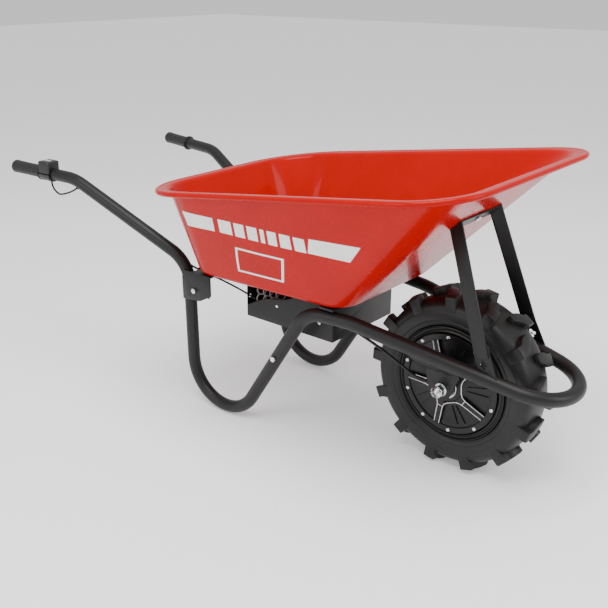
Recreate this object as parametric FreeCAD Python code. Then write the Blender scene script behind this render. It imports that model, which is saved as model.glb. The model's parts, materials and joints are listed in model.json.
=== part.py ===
import FreeCAD, Part
import math
import os

# Power wheelbarrow: a bent-tube barrow frame with a pressed steel pan, driven by a hub motor
# in its single front wheel. Millimetres. +X forward, +Y to the operator's left, +Z up.
# The origin is on the ground, in the middle of the overall length and width.
# Every x below is counted from one cross line of the frame tubes, just ahead of the axle, and place()
# moves it into the part's frame. The wheel's own x values are counted from the axle, with at_axle().

Vec = FreeCAD.Vector

# ---------------------------------------------------------------- driving dimensions
grip_end_x = -1284.0         # rear end of the grips
loop_tip_x = 257.0           # centreline of the front loop, at its tip
tube_od = 32.0               # frame tube
tube_wall = 1.6
leg_half = 184.5             # half the distance between the leg centrelines
leg_knee_x = -701.0          # corner where handle and leg meet
leg_knee_z = 382.0
foot_corner_x = -689.5       # corner of the foot bend
foot_bend_r = 110.0
top_corner = (-320.0, 177.0, 344.0)     # corner where the leg's front run turns into the bar
top_bend_r = 78.0
bar_bend = (-205.0, 159.0, 340.0)       # slight bend where the bar starts to run down
bar_bend_r = 260.0
bar_drop = 0.187             # how far the bar falls per millimetre forward
loop_r = 101.6
handle_corner = (-1052.0, 258.0, 560.0)
handle_bend_r = 120.0
knee_bend_r = 95.0
grip_end = (grip_end_x, 286.0, 568.0)
stub_od = 22.2               # reduced end of the handle tube, which carries the grip
stub_len_left = 114.0        # under the grip alone
stub_len_right = 158.0       # under the grip and the control housing

axle_back = 10.5             # the axle, behind the line that x is counted from
tyre_r = 210.4               # over the lugs
tyre_half_w = 54.5
lug_height = 13.0
lug_count = 13               # on each side of the tread
lug_phase = 10.5             # degrees, where the right-hand row starts
rim_r = 136.0                # outer edge of the rim flange
rim_half_w = 48.0

pan_rear_x = -778.0          # rolled edge of the pan, outside
pan_front_x = 141.0
pan_rear_half = 314.0
pan_front_half = 343.0
pan_rear_corner_r = 180.0
pan_front_corner_r = 140.0
pan_lip_z = 687.7            # height of the pan's edge above the axle
pan_lip_rise = 0.139         # rise of the edge per millimetre forward
pan_bead_r = 6.5
pan_lip_w = 34.0             # from the outside of the bead to the top of the wall
pan_sheet = 1.5
floor_rear_x = -664.0
floor_front_x = -216.0
floor_rear_half = 207.0
floor_front_half = 180.0
floor_corner_r = 54.0
floor_z = 368.0              # underside of the pan's floor
floor_blend_r = 38.0

box_rear_x = -559.0          # battery box under the pan
box_front_x = -286.0
box_half = 122.0
box_bottom_z = 256.0
box_sheet = 2.0

axle_d = 16.0
axle_end_y = 108.5           # half the length of the axle
dropout_y = 79.5             # inner face of the dropout plates
dropout_t = 6.0
strut_w = 32.0
strut_t = 4.0
strut_top_half = 84.0
strut_foot = (96.0, 111.0, 327.0)

bolt_d = 8.0
bolt_clearance = 0.4         # hole diameter over bolt diameter
running_gap = 0.05           # radial, between a turning part and what it turns on
moving_gap = 0.6             # between bodies that pass each other
joint_along = 165.0          # joint bolt, measured down the leg's front run from the top corner
spigot_len = 64.0

tube_r = tube_od / 2
stub_r = stub_od / 2
axle_z = tyre_r
axle_x = -(grip_end_x + loop_tip_x + tube_r) / 2

parts = {}


# ---------------------------------------------------------------- helpers
def place(x, y, z):
    """A point given from the axle, in the part's frame."""
    return Vec(axle_x + x, y, z)


def at_axle(x, y, z):
    """A point of the wheel, with x counted from the axle."""
    return place(x - axle_back, y, z)


def mirrored(shape):
    """The same shape on the other side of the middle plane."""
    return shape.mirror(Vec(0, 0, 0), Vec(0, 1, 0))


def on_side(shape, side):
    """Shapes are drawn on the left (+Y); side -1 gives the right-hand one."""
    return shape if side > 0 else mirrored(shape)


def corner_arc(before, corner, after, radius):
    """Start, middle and end of the arc that rounds a corner."""
    to_before = (before - corner).normalize()
    to_after = (after - corner).normalize()
    half = to_before.getAngle(to_after) / 2
    inset = radius / math.tan(half)
    centre = corner + (to_before + to_after).normalize() * (radius / math.sin(half))
    start = corner + to_before * inset
    end = corner + to_after * inset
    middle = centre + (corner - centre).normalize() * radius
    return start, middle, end


def bent_wire(points, radii, closed=False):
    """Straight runs joined by tangent arcs, one radius for each inner corner."""
    count = len(points)
    corners = range(count) if closed else range(1, count - 1)
    arcs = []
    for order, index in enumerate(corners):
        before = points[index - 1]
        after = points[(index + 1) % count]
        arcs.append(corner_arc(before, points[index], after, radii[order]))
    ends = [] if closed else [points[-1]]
    here = arcs[-1][2] if closed else points[0]
    edges = []
    for start, middle, end in arcs:
        if (start - here).Length > 0.01:
            edges.append(Part.LineSegment(here, start).toShape())
        edges.append(Part.Arc(start, middle, end).toShape())
        here = end
    for last in ends:
        edges.append(Part.LineSegment(here, last).toShape())
    return Part.Wire(edges)


def swept(wire, outer, inner=0.0):
    """A round bar or tube along a wire."""
    start = wire.Edges[0].valueAt(wire.Edges[0].FirstParameter)
    along = wire.Edges[0].tangentAt(wire.Edges[0].FirstParameter)
    rings = [Part.Wire(Part.makeCircle(outer, start, along))]
    if inner:
        rings.append(Part.Wire(Part.makeCircle(inner, start, along)))
    solids = []
    for ring in rings:
        pipe = Part.BRepOffsetAPI.MakePipeShell(wire)
        pipe.add(ring)
        pipe.build()
        pipe.makeSolid()
        solids.append(pipe.shape())
    return solids[0].cut(solids[1]) if inner else solids[0]


def cylinder(start, end, radius, bore=0.0):
    """A cylinder, or a tube, between two points."""
    along = end - start
    body = Part.makeCylinder(radius, along.Length, start, along)
    if bore:
        body = body.cut(Part.makeCylinder(bore, along.Length, start, along))
    return body


def hexagon(centre, along, flats, height, bore=0.0):
    """A hexagonal prism whose base is centred on a point."""
    axis = Vec(along).normalize()
    turn = FreeCAD.Rotation(Vec(0, 0, 1), axis)
    corners = []
    for step in range(7):
        angle = math.radians(60 * step)
        corners.append(Vec(math.cos(angle), math.sin(angle), 0) * (flats / math.sqrt(3)))
    face = Part.Face(Part.makePolygon(corners))
    prism = face.extrude(Vec(0, 0, height))
    if bore:
        prism = prism.cut(Part.makeCylinder(bore, height))
    prism.Placement = FreeCAD.Placement(centre, turn)
    return prism


def hex_bolt(head_base, along, grip, diameter, past=0.0):
    """A hexagon head bolt. The head's bearing face is at head_base, the shank runs along."""
    axis = Vec(along).normalize()
    head = hexagon(head_base, axis * -1, diameter * 1.6, diameter * 0.65)
    shank = cylinder(head_base, head_base + axis * (grip + past), diameter / 2)
    return head.fuse(shank).removeSplitter()


def hex_nut(base, along, diameter):
    """A nut whose bearing face is at base."""
    return hexagon(base, along, diameter * 1.6, diameter * 0.8, diameter / 2)


def box_between(low, high):
    """A box between two corners, given from the axle."""
    size = [b - a for a, b in zip(low, high)]
    return Part.makeBox(size[0], size[1], size[2], place(*low))


def plate(points, thickness):
    """A flat plate: outline points in one plane, thickened along thickness."""
    outline = Part.makePolygon(points + [points[0]])
    return Part.Face(outline).extrude(thickness)


def group(solids):
    """Separate identical pieces in one node."""
    return Part.Compound(solids)


# ---------------------------------------------------------------- frame tubes
def bar_plane(s, y):
    """A point in the sloping plane of the bars and the loop, s millimetres ahead of the bar bend."""
    run = math.hypot(1.0, bar_drop)
    x, _, z = bar_bend
    return place(x + s / run, y, z - s * bar_drop / run)


def loop_corners():
    """Corners of the polygon that the front loop's arcs are tangent to."""
    slope = math.hypot(1.0, bar_drop)
    tip_s = (loop_tip_x - bar_bend[0]) * slope
    centre_s = tip_s - loop_r
    start_y = bar_bend[1]
    reach = math.hypot(centre_s, start_y)
    to_centre = math.atan2(-start_y, centre_s)
    direction = to_centre + math.asin(loop_r / reach)
    corner_y = start_y + tip_s * math.tan(direction)
    return tip_s, corner_y


def foot_corner_z():
    """Height of the foot's corner that puts the underside of the bend on the ground."""
    low, high = -700.0, 0.0
    for _ in range(60):
        middle = (low + high) / 2
        corner = Vec(foot_corner_x, 0, middle)
        up_leg = Vec(leg_knee_x, 0, leg_knee_z)
        up_front = Vec(top_corner[0], 0, top_corner[2])
        half = (up_leg - corner).getAngle(up_front - corner) / 2
        towards = ((up_leg - corner).normalize() + (up_front - corner).normalize()).normalize()
        lowest = corner.z + towards.z * foot_bend_r / math.sin(half) - foot_bend_r - tube_r
        if lowest > 0:
            high = middle
        else:
            low = middle
    return middle


foot_corner = place(foot_corner_x, leg_half, foot_corner_z())
top_point = place(*top_corner)
front_run = (foot_corner - top_point).normalize()
joint_point = top_point + front_run * joint_along
seam_point = top_point + front_run * (joint_along - spigot_len / 2)
knee_point = place(leg_knee_x, leg_half, leg_knee_z)
bend_point = place(*handle_corner)
grip_end_point = place(*grip_end)
grip_back = (grip_end_point - bend_point).normalize()
tip_s, loop_corner_y = loop_corners()


def side_bolt(point, diameter):
    """A cutter for a hole right across a tube, along Y."""
    reach = Vec(0, tube_od, 0)
    return cylinder(point - reach, point + reach, (diameter + bolt_clearance) / 2)


def handle_leg(stub_len):
    """One rear tube: grip stub, handle, leg, foot bend and the front run up to the joint."""
    stub_start = grip_end_point - grip_back * stub_len
    route = bent_wire([stub_start, bend_point, knee_point, foot_corner, seam_point],
                      [handle_bend_r, knee_bend_r, foot_bend_r])
    tube = swept(route, tube_r, tube_r - tube_wall)
    shoulder = cylinder(stub_start - grip_back * tube_wall, stub_start + grip_back * tube_wall,
                        tube_r, stub_r - tube_wall)
    stub = cylinder(stub_start, grip_end_point - grip_back * 4.0, stub_r, stub_r - tube_wall)
    return tube.fuse([shoulder, stub]).cut(side_bolt(joint_point, bolt_d))


def front_loop():
    """The front tube: both bars and the loop ahead of the wheel, with a spigot at each end."""
    half = [seam_point, top_point, place(*bar_bend), bar_plane(tip_s, loop_corner_y)]
    other = [Vec(p.x, -p.y, p.z) for p in reversed(half)]
    radii = [top_bend_r, bar_bend_r, loop_r]
    tube = swept(bent_wire(half + other, radii + radii[::-1]), tube_r, tube_r - tube_wall)
    fit_r = tube_r - tube_wall - bolt_clearance / 2
    spigot = cylinder(seam_point - front_run * 40.0, seam_point + front_run * spigot_len,
                      fit_r, fit_r - tube_wall)
    sleeve = cylinder(seam_point - front_run * 40.0, seam_point, tube_r - tube_wall, fit_r)
    spigot = spigot.fuse(sleeve).cut(side_bolt(joint_point, bolt_d))
    return tube.fuse([spigot, mirrored(spigot)])


# The control cable runs inside the right-hand handle tube. Its route is drawn on the left.
cable_d = 5.0
cable_hole_d = 9.0
control_route = [(-1146.0, 269.5, 549.0), (-1141.0, 269.0, 524.0), (-1118.0, 267.5, 508.0),
                 (-1086.0, 265.5, 516.0), (-1056.0, 263.0, 528.0), (-1032.0, 256.0, 546.0),
                 (-985.0, 244.0, 530.0), (-890.0, 224.0, 480.0), (-790.0, 203.0, 428.0),
                 (-738.0, 191.5, 397.0), (-706.0, 181.0, 376.0), (-672.0, 160.0, 356.0),
                 (-632.0, 143.0, 342.0), (-595.0, 128.0, 326.0), (-567.0, 116.0, 312.0),
                 (-543.0, 106.0, 298.0)]
control_points = [place(*point) for point in control_route]


def route_hole(first):
    """A round cutter along one run of the control cable."""
    return cylinder(control_points[first], control_points[first + 1], cable_hole_d / 2)


parts["handle_leg_left"] = handle_leg(stub_len_left)
parts["handle_leg_right"] = mirrored(handle_leg(stub_len_right).cut([route_hole(4), route_hole(10)]))
parts["front_loop"] = front_loop()

parts["joint_bolts"] = group([
    on_side(hex_bolt(joint_point + Vec(0, tube_r, 0), Vec(0, -1, 0), tube_od, bolt_d, 11.0), side)
    for side in (1, -1)])
parts["joint_nuts"] = group([
    on_side(hex_nut(joint_point - Vec(0, tube_r, 0), Vec(0, -1, 0), bolt_d), side)
    for side in (1, -1)])


# ---------------------------------------------------------------- pan
def lip_z(x):
    return pan_lip_z + pan_lip_rise * x


def lip_outline(inset, lift=0.0):
    """Rounded outline of the pan's edge, inset from the outside of the rolled bead."""
    rear = pan_rear_x + inset
    front = pan_front_x - inset
    corners = [(rear, -pan_rear_half + inset), (front, -pan_front_half + inset),
               (front, pan_front_half - inset), (rear, pan_rear_half - inset)]
    points = [place(x, y, lip_z(x) + lift) for x, y in corners]
    radii = [pan_rear_corner_r - inset, pan_front_corner_r - inset,
             pan_front_corner_r - inset, pan_rear_corner_r - inset]
    return bent_wire(points, radii, closed=True)


def floor_outline(inset, z):
    """Rounded outline of the pan's floor."""
    rear = floor_rear_x + inset
    front = floor_front_x - inset
    points = [place(rear, -floor_rear_half + inset, z), place(front, -floor_front_half + inset, z),
              place(front, floor_front_half - inset, z), place(rear, floor_rear_half - inset, z)]
    return bent_wire(points, [floor_corner_r - inset] * 4, closed=True)


def pan_block(inset, z):
    """The pan as a filled block, with the edge round its floor blended."""
    block = Part.makeLoft([floor_outline(inset, z), lip_outline(pan_lip_w + inset)], True, True)
    floor_edges = []
    for edge in block.Edges:
        if edge.BoundBox.ZMax < z + 0.1:
            floor_edges.append(edge)
    return block.makeFillet(floor_blend_r - inset, floor_edges)


def pan():
    """The pressed pan: walls and floor, a flat lip and a rolled bead."""
    shell = pan_block(0.0, floor_z).cut(pan_block(pan_sheet, floor_z + pan_sheet))
    thick = Vec(0, 0, -pan_sheet)
    lip = Part.Face(lip_outline(pan_bead_r)).extrude(thick)
    lip = lip.cut(Part.Face(lip_outline(pan_lip_w + pan_sheet)).extrude(thick))
    bead_wire = lip_outline(pan_bead_r, -pan_sheet / 2)
    bead = swept(bead_wire, pan_bead_r)
    return shell.fuse([lip, bead])


pan_shape = pan()

# ---------------------------------------------------------------- clamp brackets and pan bolts
bracket_t = 4.0
bracket_low_z = 290.0
bracket_reach = 92.0
bracket_flange_w = 68.0


def leg_x(z):
    """Where the leg's centreline is at a height."""
    share = (leg_knee_z - z) / (leg_knee_z - foot_corner.z)
    return leg_knee_x + share * (foot_corner_x - leg_knee_x)


bracket_top_z = floor_z
bracket_mid_z = (bracket_low_z + bracket_top_z) / 2
bracket_x = leg_x(bracket_mid_z)
bracket_outer_y = leg_half + tube_r + bracket_t
clamp_bolt_x = bracket_x + 36.0
clamp_bolt_z = bracket_low_z + 30.0
pan_bolt_rear = (bracket_x + 74.0, leg_half + tube_r - 41.0)
pan_bolt_front = (-262.0, 128.0)


def clamp_bracket():
    """A plate folded round the back of the leg, with a flange that the pan is bolted to."""
    leg_low = Vec(axle_x + leg_x(bracket_low_z), leg_half, bracket_low_z)
    leg_high = Vec(axle_x + leg_x(bracket_top_z - 20), leg_half, bracket_top_z - 20)
    saddle = cylinder(leg_low, leg_high, tube_r + bracket_t, tube_r)
    behind = box_between((bracket_x - 60, leg_half - 60, 200), (bracket_x, leg_half + 60, 420))
    saddle = saddle.common(behind)
    outline = [(bracket_x - 1, bracket_low_z), (bracket_x + bracket_reach * 0.6, bracket_low_z + 6),
               (bracket_x + bracket_reach, bracket_low_z + 26),
               (bracket_x + bracket_reach, bracket_top_z), (bracket_x - 1, bracket_top_z)]
    cheek = plate([place(x, bracket_outer_y - bracket_t, z) for x, z in outline],
                  Vec(0, bracket_t, 0))
    inner = plate([place(x, leg_half - tube_r - bracket_t, z) for x, z in
                   [(bracket_x - 1, bracket_low_z), (bracket_x + 50, bracket_low_z),
                    (bracket_x + 50, bracket_low_z + 56), (bracket_x - 1, bracket_low_z + 56)]],
                  Vec(0, bracket_t, 0))
    flange = box_between((bracket_x + 26, bracket_outer_y - bracket_flange_w, bracket_top_z - bracket_t),
                         (bracket_x + bracket_reach, bracket_outer_y, bracket_top_z))
    body = saddle.fuse([cheek, inner, flange])
    knee_clear = bent_wire([bend_point, knee_point, foot_corner, top_point], [knee_bend_r, foot_bend_r])
    body = body.cut(swept(knee_clear, tube_r))
    bolt_hole = cylinder(place(clamp_bolt_x, leg_half - 40, clamp_bolt_z),
                         place(clamp_bolt_x, leg_half + 40, clamp_bolt_z), (bolt_d + bolt_clearance) / 2)
    pan_hole = cylinder(place(pan_bolt_rear[0], pan_bolt_rear[1], floor_z - 20),
                        place(pan_bolt_rear[0], pan_bolt_rear[1], floor_z + 5),
                        (bolt_d + bolt_clearance) / 2)
    return body.cut([bolt_hole, pan_hole]).removeSplitter()


left_bracket = clamp_bracket()
parts["clamp_bracket_left"] = left_bracket
parts["clamp_bracket_right"] = mirrored(left_bracket)
clamp_head = place(clamp_bolt_x, bracket_outer_y, clamp_bolt_z)
clamp_grip = tube_od + 2 * bracket_t
parts["clamp_bolts"] = group([
    on_side(hex_bolt(clamp_head, Vec(0, -1, 0), clamp_grip, bolt_d, 10.0), side) for side in (1, -1)])
parts["clamp_nuts"] = group([
    on_side(hex_nut(clamp_head - Vec(0, clamp_grip, 0), Vec(0, -1, 0), bolt_d), side)
    for side in (1, -1)])


def coach_bolt(x, y, grip):
    """A round-headed bolt through the pan's floor, head inside the pan."""
    top = place(x, y, floor_z + pan_sheet)
    head = Part.makeSphere(bolt_d * 1.6, top - Vec(0, 0, bolt_d * 1.2))
    above = box_between((x - 30, y - 30, floor_z + pan_sheet), (x + 30, y + 30, floor_z + 40))
    shank = cylinder(top - Vec(0, 0, grip + 9.0), top, bolt_d / 2)
    return head.common(above).fuse(shank)


def pan_bolt_set(spot, under):
    """Bolts and nuts on both sides; under is the thickness that they clamp below the pan."""
    bolts = []
    nuts = []
    for side in (1, -1):
        bolts.append(coach_bolt(spot[0], side * spot[1], pan_sheet + under))
        nuts.append(hex_nut(place(spot[0], side * spot[1], floor_z - under), Vec(0, 0, -1), bolt_d))
    return group(bolts), group(nuts)


strap_t = 5.0
strap_w = 40.0


def cross_strap():
    """A flat strap across the bars that carries the front of the pan's floor."""
    x = pan_bolt_front[0]
    strap = box_between((x - strap_w / 2, -bar_bend[1] - 22, floor_z - strap_t),
                        (x + strap_w / 2, bar_bend[1] + 22, floor_z))
    holes = [cylinder(place(x, s * pan_bolt_front[1], floor_z - 20),
                      place(x, s * pan_bolt_front[1], floor_z + 5), (bolt_d + bolt_clearance) / 2)
             for s in (1, -1)]
    return strap.cut(holes)


parts["tray_bolts_rear"], parts["tray_nuts_rear"] = pan_bolt_set(pan_bolt_rear, bracket_t)
parts["tray_bolts_front"], parts["tray_nuts_front"] = pan_bolt_set(pan_bolt_front, strap_t)

# ---------------------------------------------------------------- strut under the pan's nose
nose_slope = math.atan2(lip_z(pan_front_x) - floor_z, pan_front_x - pan_lip_w - floor_front_x)


def nose_point(z, out=0.0):
    """A point on the outside of the pan's front wall, in the middle, moved out by some distance."""
    share = (z - floor_z) / (lip_z(pan_front_x - pan_lip_w) - floor_z)
    x = floor_front_x + share * (pan_front_x - pan_lip_w - floor_front_x)
    return x + out * math.sin(nose_slope), z - out * math.cos(nose_slope)


strut_top_z = 592.0


def strut():
    """One flat bar bent to a U: its middle is bolted under the nose, its legs reach the bars."""
    wall_x, wall_z = nose_point(strut_top_z, 1.0)
    across = Vec(math.cos(nose_slope), 0, math.sin(nose_slope))
    out = Vec(math.sin(nose_slope), 0, -math.cos(nose_slope))
    centre = place(wall_x, 0, wall_z)
    half = strut_top_half + strut_t
    low = centre - across * strut_w / 2 - Vec(0, half, 0)
    cross = plate([low, low + across * strut_w, low + across * strut_w + Vec(0, 2 * half, 0),
                   low + Vec(0, 2 * half, 0)], out * strut_t)
    top = centre + Vec(0, strut_top_half, 0)
    foot = place(*strut_foot)
    down = (foot - top).normalize()
    side = across - down * across.dot(down)
    side.normalize()
    thick = down.cross(side).normalize() * strut_t
    if thick.y < 0:
        thick = thick * -1
    start = top - down * 20.0
    leg = plate([start - side * strut_w / 2, start + side * strut_w / 2,
                 foot + side * strut_w / 2, foot - side * strut_w / 2], thick)
    above = plate([low - across * 90 + Vec(0, -60, 0), low + across * 120 + Vec(0, -60, 0),
                   low + across * 120 + Vec(0, 300, 0), low - across * 90 + Vec(0, 300, 0)], out * -60)
    leg = leg.cut(above)
    hole = cylinder(centre - out * 20, centre + out * 20, (bolt_d + bolt_clearance) / 2)
    return cross.fuse([leg, mirrored(leg)]).removeSplitter().cut(hole), centre, out, foot, down, side


strut_shape, strut_centre, strut_out, strut_end, strut_down, strut_side = strut()
parts["tray_strut"] = strut_shape
strut_bolt = hex_bolt(strut_centre + strut_out * strut_t, strut_out * -1, strut_t + 1.0 + pan_sheet * 2,
                      bolt_d, 10.0)
parts["strut_bolt"] = strut_bolt
parts["strut_nut"] = hex_nut(strut_centre - strut_out * (1.0 + pan_sheet * 2), strut_out * -1, bolt_d)

bars_outer = swept(bent_wire([top_point, place(*bar_bend), bar_plane(tip_s, loop_corner_y)],
                             [bar_bend_r]), tube_r)


def strut_bracket():
    """A pierced plate between the strut's foot and the bar."""
    back = strut_end - strut_down * 26.0 + Vec(0, -0.2, 0)
    thick = strut_down.cross(strut_side).normalize() * 3.0
    if thick.y > 0:
        thick = thick * -1
    low = strut_end + strut_down * 52.0
    body = plate([back - strut_side * 17, back + strut_side * 17, low + strut_side * 24,
                  low - strut_side * 24], thick)
    middle = strut_end + strut_down * 15.0
    for offset in (strut_down * 6, strut_down * -6, strut_side * 6, strut_side * -6):
        spot = middle + offset
        body = body.cut(cylinder(spot - thick * 4, spot + thick * 4, 4.2))
    return body.cut(bars_outer)


left_strut_bracket = strut_bracket()
parts["strut_bracket_left"] = left_strut_bracket
parts["strut_bracket_right"] = mirrored(left_strut_bracket)

pan_hole_list = []
for side in (1, -1):
    for spot in (pan_bolt_rear, pan_bolt_front):
        pan_hole_list.append(cylinder(place(spot[0], side * spot[1], floor_z - 5),
                                      place(spot[0], side * spot[1], floor_z + 5),
                                      (bolt_d + bolt_clearance) / 2))
pan_hole_list.append(cylinder(strut_centre - strut_out * 12, strut_centre + strut_out * 2,
                              (bolt_d + bolt_clearance) / 2))
parts["tray"] = pan_shape.cut(pan_hole_list)
parts["cross_strap"] = cross_strap().cut([bars_outer, mirrored(bars_outer)])

# ---------------------------------------------------------------- dropouts and axle
dropout_step = 40.0          # height of the fold above the axle
dropout_rear = (30.0, 42.0, 62.5)       # behind the axle: at the foot, at the fold, at the bar
dropout_front = (20.0, 43.0, 55.0)      # ahead of the axle, in the same places


def bar_at(x):
    """Centre of the left bar above a given x."""
    start = place(*bar_bend)
    end = bar_plane(tip_s, loop_corner_y)
    share = (x - bar_bend[0]) / (end.x - start.x)
    return start + (end - start) * share


def dropout():
    """A plate from the bar down to the axle, folded out at its top to meet the bar."""
    bar = bar_at(-axle_back)
    step_z = axle_z + dropout_step
    low_y = dropout_y
    high_y = bar.y - 2.0
    high_z = bar_at(dropout_front[2]).z
    lower = [(-dropout_rear[0], axle_z - 14), (-dropout_rear[0] / 2, axle_z - 26),
             (dropout_front[0] / 2, axle_z - 26), (dropout_front[0], axle_z - 16),
             (dropout_front[1], step_z), (-dropout_rear[1], step_z)]
    low_plate = plate([at_axle(x, low_y, z) for x, z in lower], Vec(0, dropout_t, 0))
    slant = [at_axle(-dropout_rear[1], low_y, step_z), at_axle(dropout_front[1], low_y, step_z),
             at_axle(dropout_front[2], high_y, high_z), at_axle(-dropout_rear[2], high_y, high_z)]
    high_plate = plate(slant, Vec(0, dropout_t, 0))
    body = low_plate.fuse(high_plate).removeSplitter()
    slot = cylinder(at_axle(0, low_y - 5, axle_z), at_axle(0, low_y + 15, axle_z), axle_d / 2 + running_gap)
    return body.cut([bars_outer, slot])


left_dropout = dropout()
parts["dropout_left"] = left_dropout
parts["dropout_right"] = mirrored(left_dropout)

axle_shaft = cylinder(at_axle(0, -axle_end_y, axle_z), at_axle(0, axle_end_y, axle_z), axle_d / 2)
shoulder_y = dropout_y - 1.5
axle_shoulder = cylinder(at_axle(0, -shoulder_y, axle_z), at_axle(0, shoulder_y, axle_z), axle_d / 2 + 2)
motor_cable_d = 7.0
motor_cable_y = -74.0
motor_cable_in = at_axle(0, motor_cable_y, axle_z)
motor_cable_dir = Vec(-57.0, 0, 1.0).normalize()
cable_bore = cylinder(motor_cable_in, at_axle(0, -30, axle_z), motor_cable_d / 2)
cable_mouth = cylinder(motor_cable_in, motor_cable_in + motor_cable_dir * 20, motor_cable_d / 2 + 0.3)
parts["axle"] = axle_shaft.fuse(axle_shoulder).cut([cable_bore, cable_mouth]).removeSplitter()
washer_t = 2.5
nut_flats = 24.0
nut_height = 15.0
washer_y = dropout_y + dropout_t
nut_y = washer_y + washer_t
parts["axle_washers"] = group([
    on_side(cylinder(at_axle(0, washer_y, axle_z), at_axle(0, washer_y + washer_t, axle_z), 15.0, axle_d / 2),
            side) for side in (1, -1)])
parts["axle_nuts"] = group([
    on_side(hexagon(at_axle(0, nut_y, axle_z), Vec(0, 1, 0), nut_flats, nut_height, axle_d / 2), side)
    for side in (1, -1)])

# ---------------------------------------------------------------- hub motor, fixed inside
motor_half = 24.0
stator_r = 92.0
rotor_gap = 0.8
magnet_t = 3.0
slot_count = 27
coil_half = motor_half + 8.0


def stator_core():
    """Laminated core with its teeth, on a web round the axle."""
    ring = cylinder(at_axle(0, -motor_half, axle_z), at_axle(0, motor_half, axle_z), stator_r - 24,
                    stator_r - 40)
    web = cylinder(at_axle(0, -6, axle_z), at_axle(0, 6, axle_z), stator_r - 40, axle_d / 2 + 2)
    teeth = []
    for index in range(slot_count):
        tooth = Part.makeBox(25.0, 2 * motor_half, 8.0, Vec(stator_r - 25.2, -motor_half, -4.0))
        tooth.rotate(Vec(0, 0, 0), Vec(0, 1, 0), index * 360.0 / slot_count)
        tooth.translate(at_axle(0, 0, axle_z))
        teeth.append(tooth)
    return ring.fuse([web] + teeth)


parts["stator_core"] = stator_core()
coils = []
for index in range(slot_count):
    outer = Part.makeBox(16.0, 2 * coil_half, 14.0, Vec(stator_r - 22.0, -coil_half, -7.0))
    inner = Part.makeBox(18.0, 2 * motor_half, 8.0, Vec(stator_r - 23.0, -motor_half, -4.0))
    coil = outer.cut(inner)
    coil.rotate(Vec(0, 0, 0), Vec(0, 1, 0), index * 360.0 / slot_count)
    coil.translate(at_axle(0, 0, axle_z))
    coils.append(coil)
parts["stator_coils"] = group(coils)

# ---------------------------------------------------------------- wheel
def turned(profile):
    """A solid of revolution about the axle, from (radius, y) points."""
    points = [at_axle(0, y, axle_z + r) for r, y in profile]
    face = Part.Face(Part.makePolygon(points + [points[0]]))
    return face.revolve(at_axle(0, 0, axle_z), Vec(0, 1, 0), 360)


rotor_r = stator_r + rotor_gap + magnet_t
magnet_count = 30
magnets = []
ring = cylinder(at_axle(0, -motor_half, axle_z), at_axle(0, motor_half, axle_z), rotor_r, rotor_r - magnet_t)
for index in range(magnet_count):
    wedge = Part.makeBox(40.0, 2 * motor_half, 17.0, Vec(rotor_r - 20.0, -motor_half, -8.5))
    wedge.rotate(Vec(0, 0, 0), Vec(0, 1, 0), index * 360.0 / magnet_count)
    wedge.translate(at_axle(0, 0, axle_z))
    magnets.append(wedge.common(ring))
parts["rotor_magnets"] = group(magnets)

cover_r = 120.0
cover_y = 53.0               # outer face of the motor covers at their edge
hub_face_y = cover_y + 11.0
drum_half = cover_y - 11.0
bearing_r = 20.0
bearing_y = (hub_face_y - 12.0, hub_face_y)
bead_y = 28.0                # inner edge of the bead seats
spoke_count = 5
spoke_phase = 31.5           # degrees below the front of the wheel, where the first spoke points


def rim():
    """Drum for the motor with a flange for the tyre's bead on each side."""
    flange_y = rim_half_w + 4.0
    edge = [(cover_r, drum_half), (cover_r + 1, flange_y), (rim_r - 3, flange_y), (rim_r, rim_half_w),
            (rim_r, rim_half_w - 4), (rim_r - 8, rim_half_w - 8), (rim_r - 14, bead_y)]
    other_edge = [(r, -y) for r, y in reversed(edge)]
    bore = [(rotor_r, -drum_half), (rotor_r, drum_half)]
    return turned(bore + edge + [(rim_r - 18, 0.0)] + other_edge)


rim_solid = rim()


def motor_cover():
    """Cast cover with a bearing seat, five raised spokes and a flat boss."""
    spigot_r = rotor_r - 0.5
    back_y = drum_half - 6.0
    back = [(bearing_r, back_y + 10), (rotor_r - 3, back_y), (spigot_r, back_y), (spigot_r, drum_half)]
    edge = [(cover_r - 1, drum_half), (cover_r - 1, cover_y), (104.0, cover_y)]
    face = [(98.0, cover_y - 5), (44.0, cover_y + 4), (36.0, hub_face_y - 1), (bearing_r, hub_face_y)]
    shell = turned(back + edge + face)
    spokes = []
    for index in range(spoke_count):
        root = Vec(0, cover_y - 7, 0)
        outline = [root + Vec(30, 0, -13), root + Vec(102, 0, -7), root + Vec(102, 0, 7),
                   root + Vec(30, 0, 13)]
        spoke = Part.Face(Part.makePolygon(outline + [outline[0]])).extrude(Vec(0, 12, 0))
        spoke.rotate(Vec(0, 0, 0), Vec(0, 1, 0), spoke_phase + index * 360.0 / spoke_count)
        spoke.translate(at_axle(0, 0, axle_z))
        spokes.append(spoke)
    clear = turned([(0, back_y), (bearing_r, back_y), (bearing_r, axle_end_y), (0, axle_end_y)])
    return shell.fuse(spokes).cut(clear)


screw_ring_r = 112.6
screw_count = 10
screw_d = 5.0


def ring_spot(index, y):
    angle = math.radians(129.5 + index * 360.0 / screw_count)
    return at_axle(screw_ring_r * math.cos(angle), y, axle_z + screw_ring_r * math.sin(angle))


def cover_screws():
    screws = []
    for index in range(screw_count):
        head = cylinder(ring_spot(index, cover_y), ring_spot(index, cover_y + 3.2), 4.4)
        shank = cylinder(ring_spot(index, cover_y - 20), ring_spot(index, cover_y), screw_d / 2)
        socket = hexagon(ring_spot(index, cover_y + 1.4), Vec(0, 1, 0), 3.0, 4.0)
        screws.append(head.fuse(shank).cut(socket))
    return screws


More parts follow.
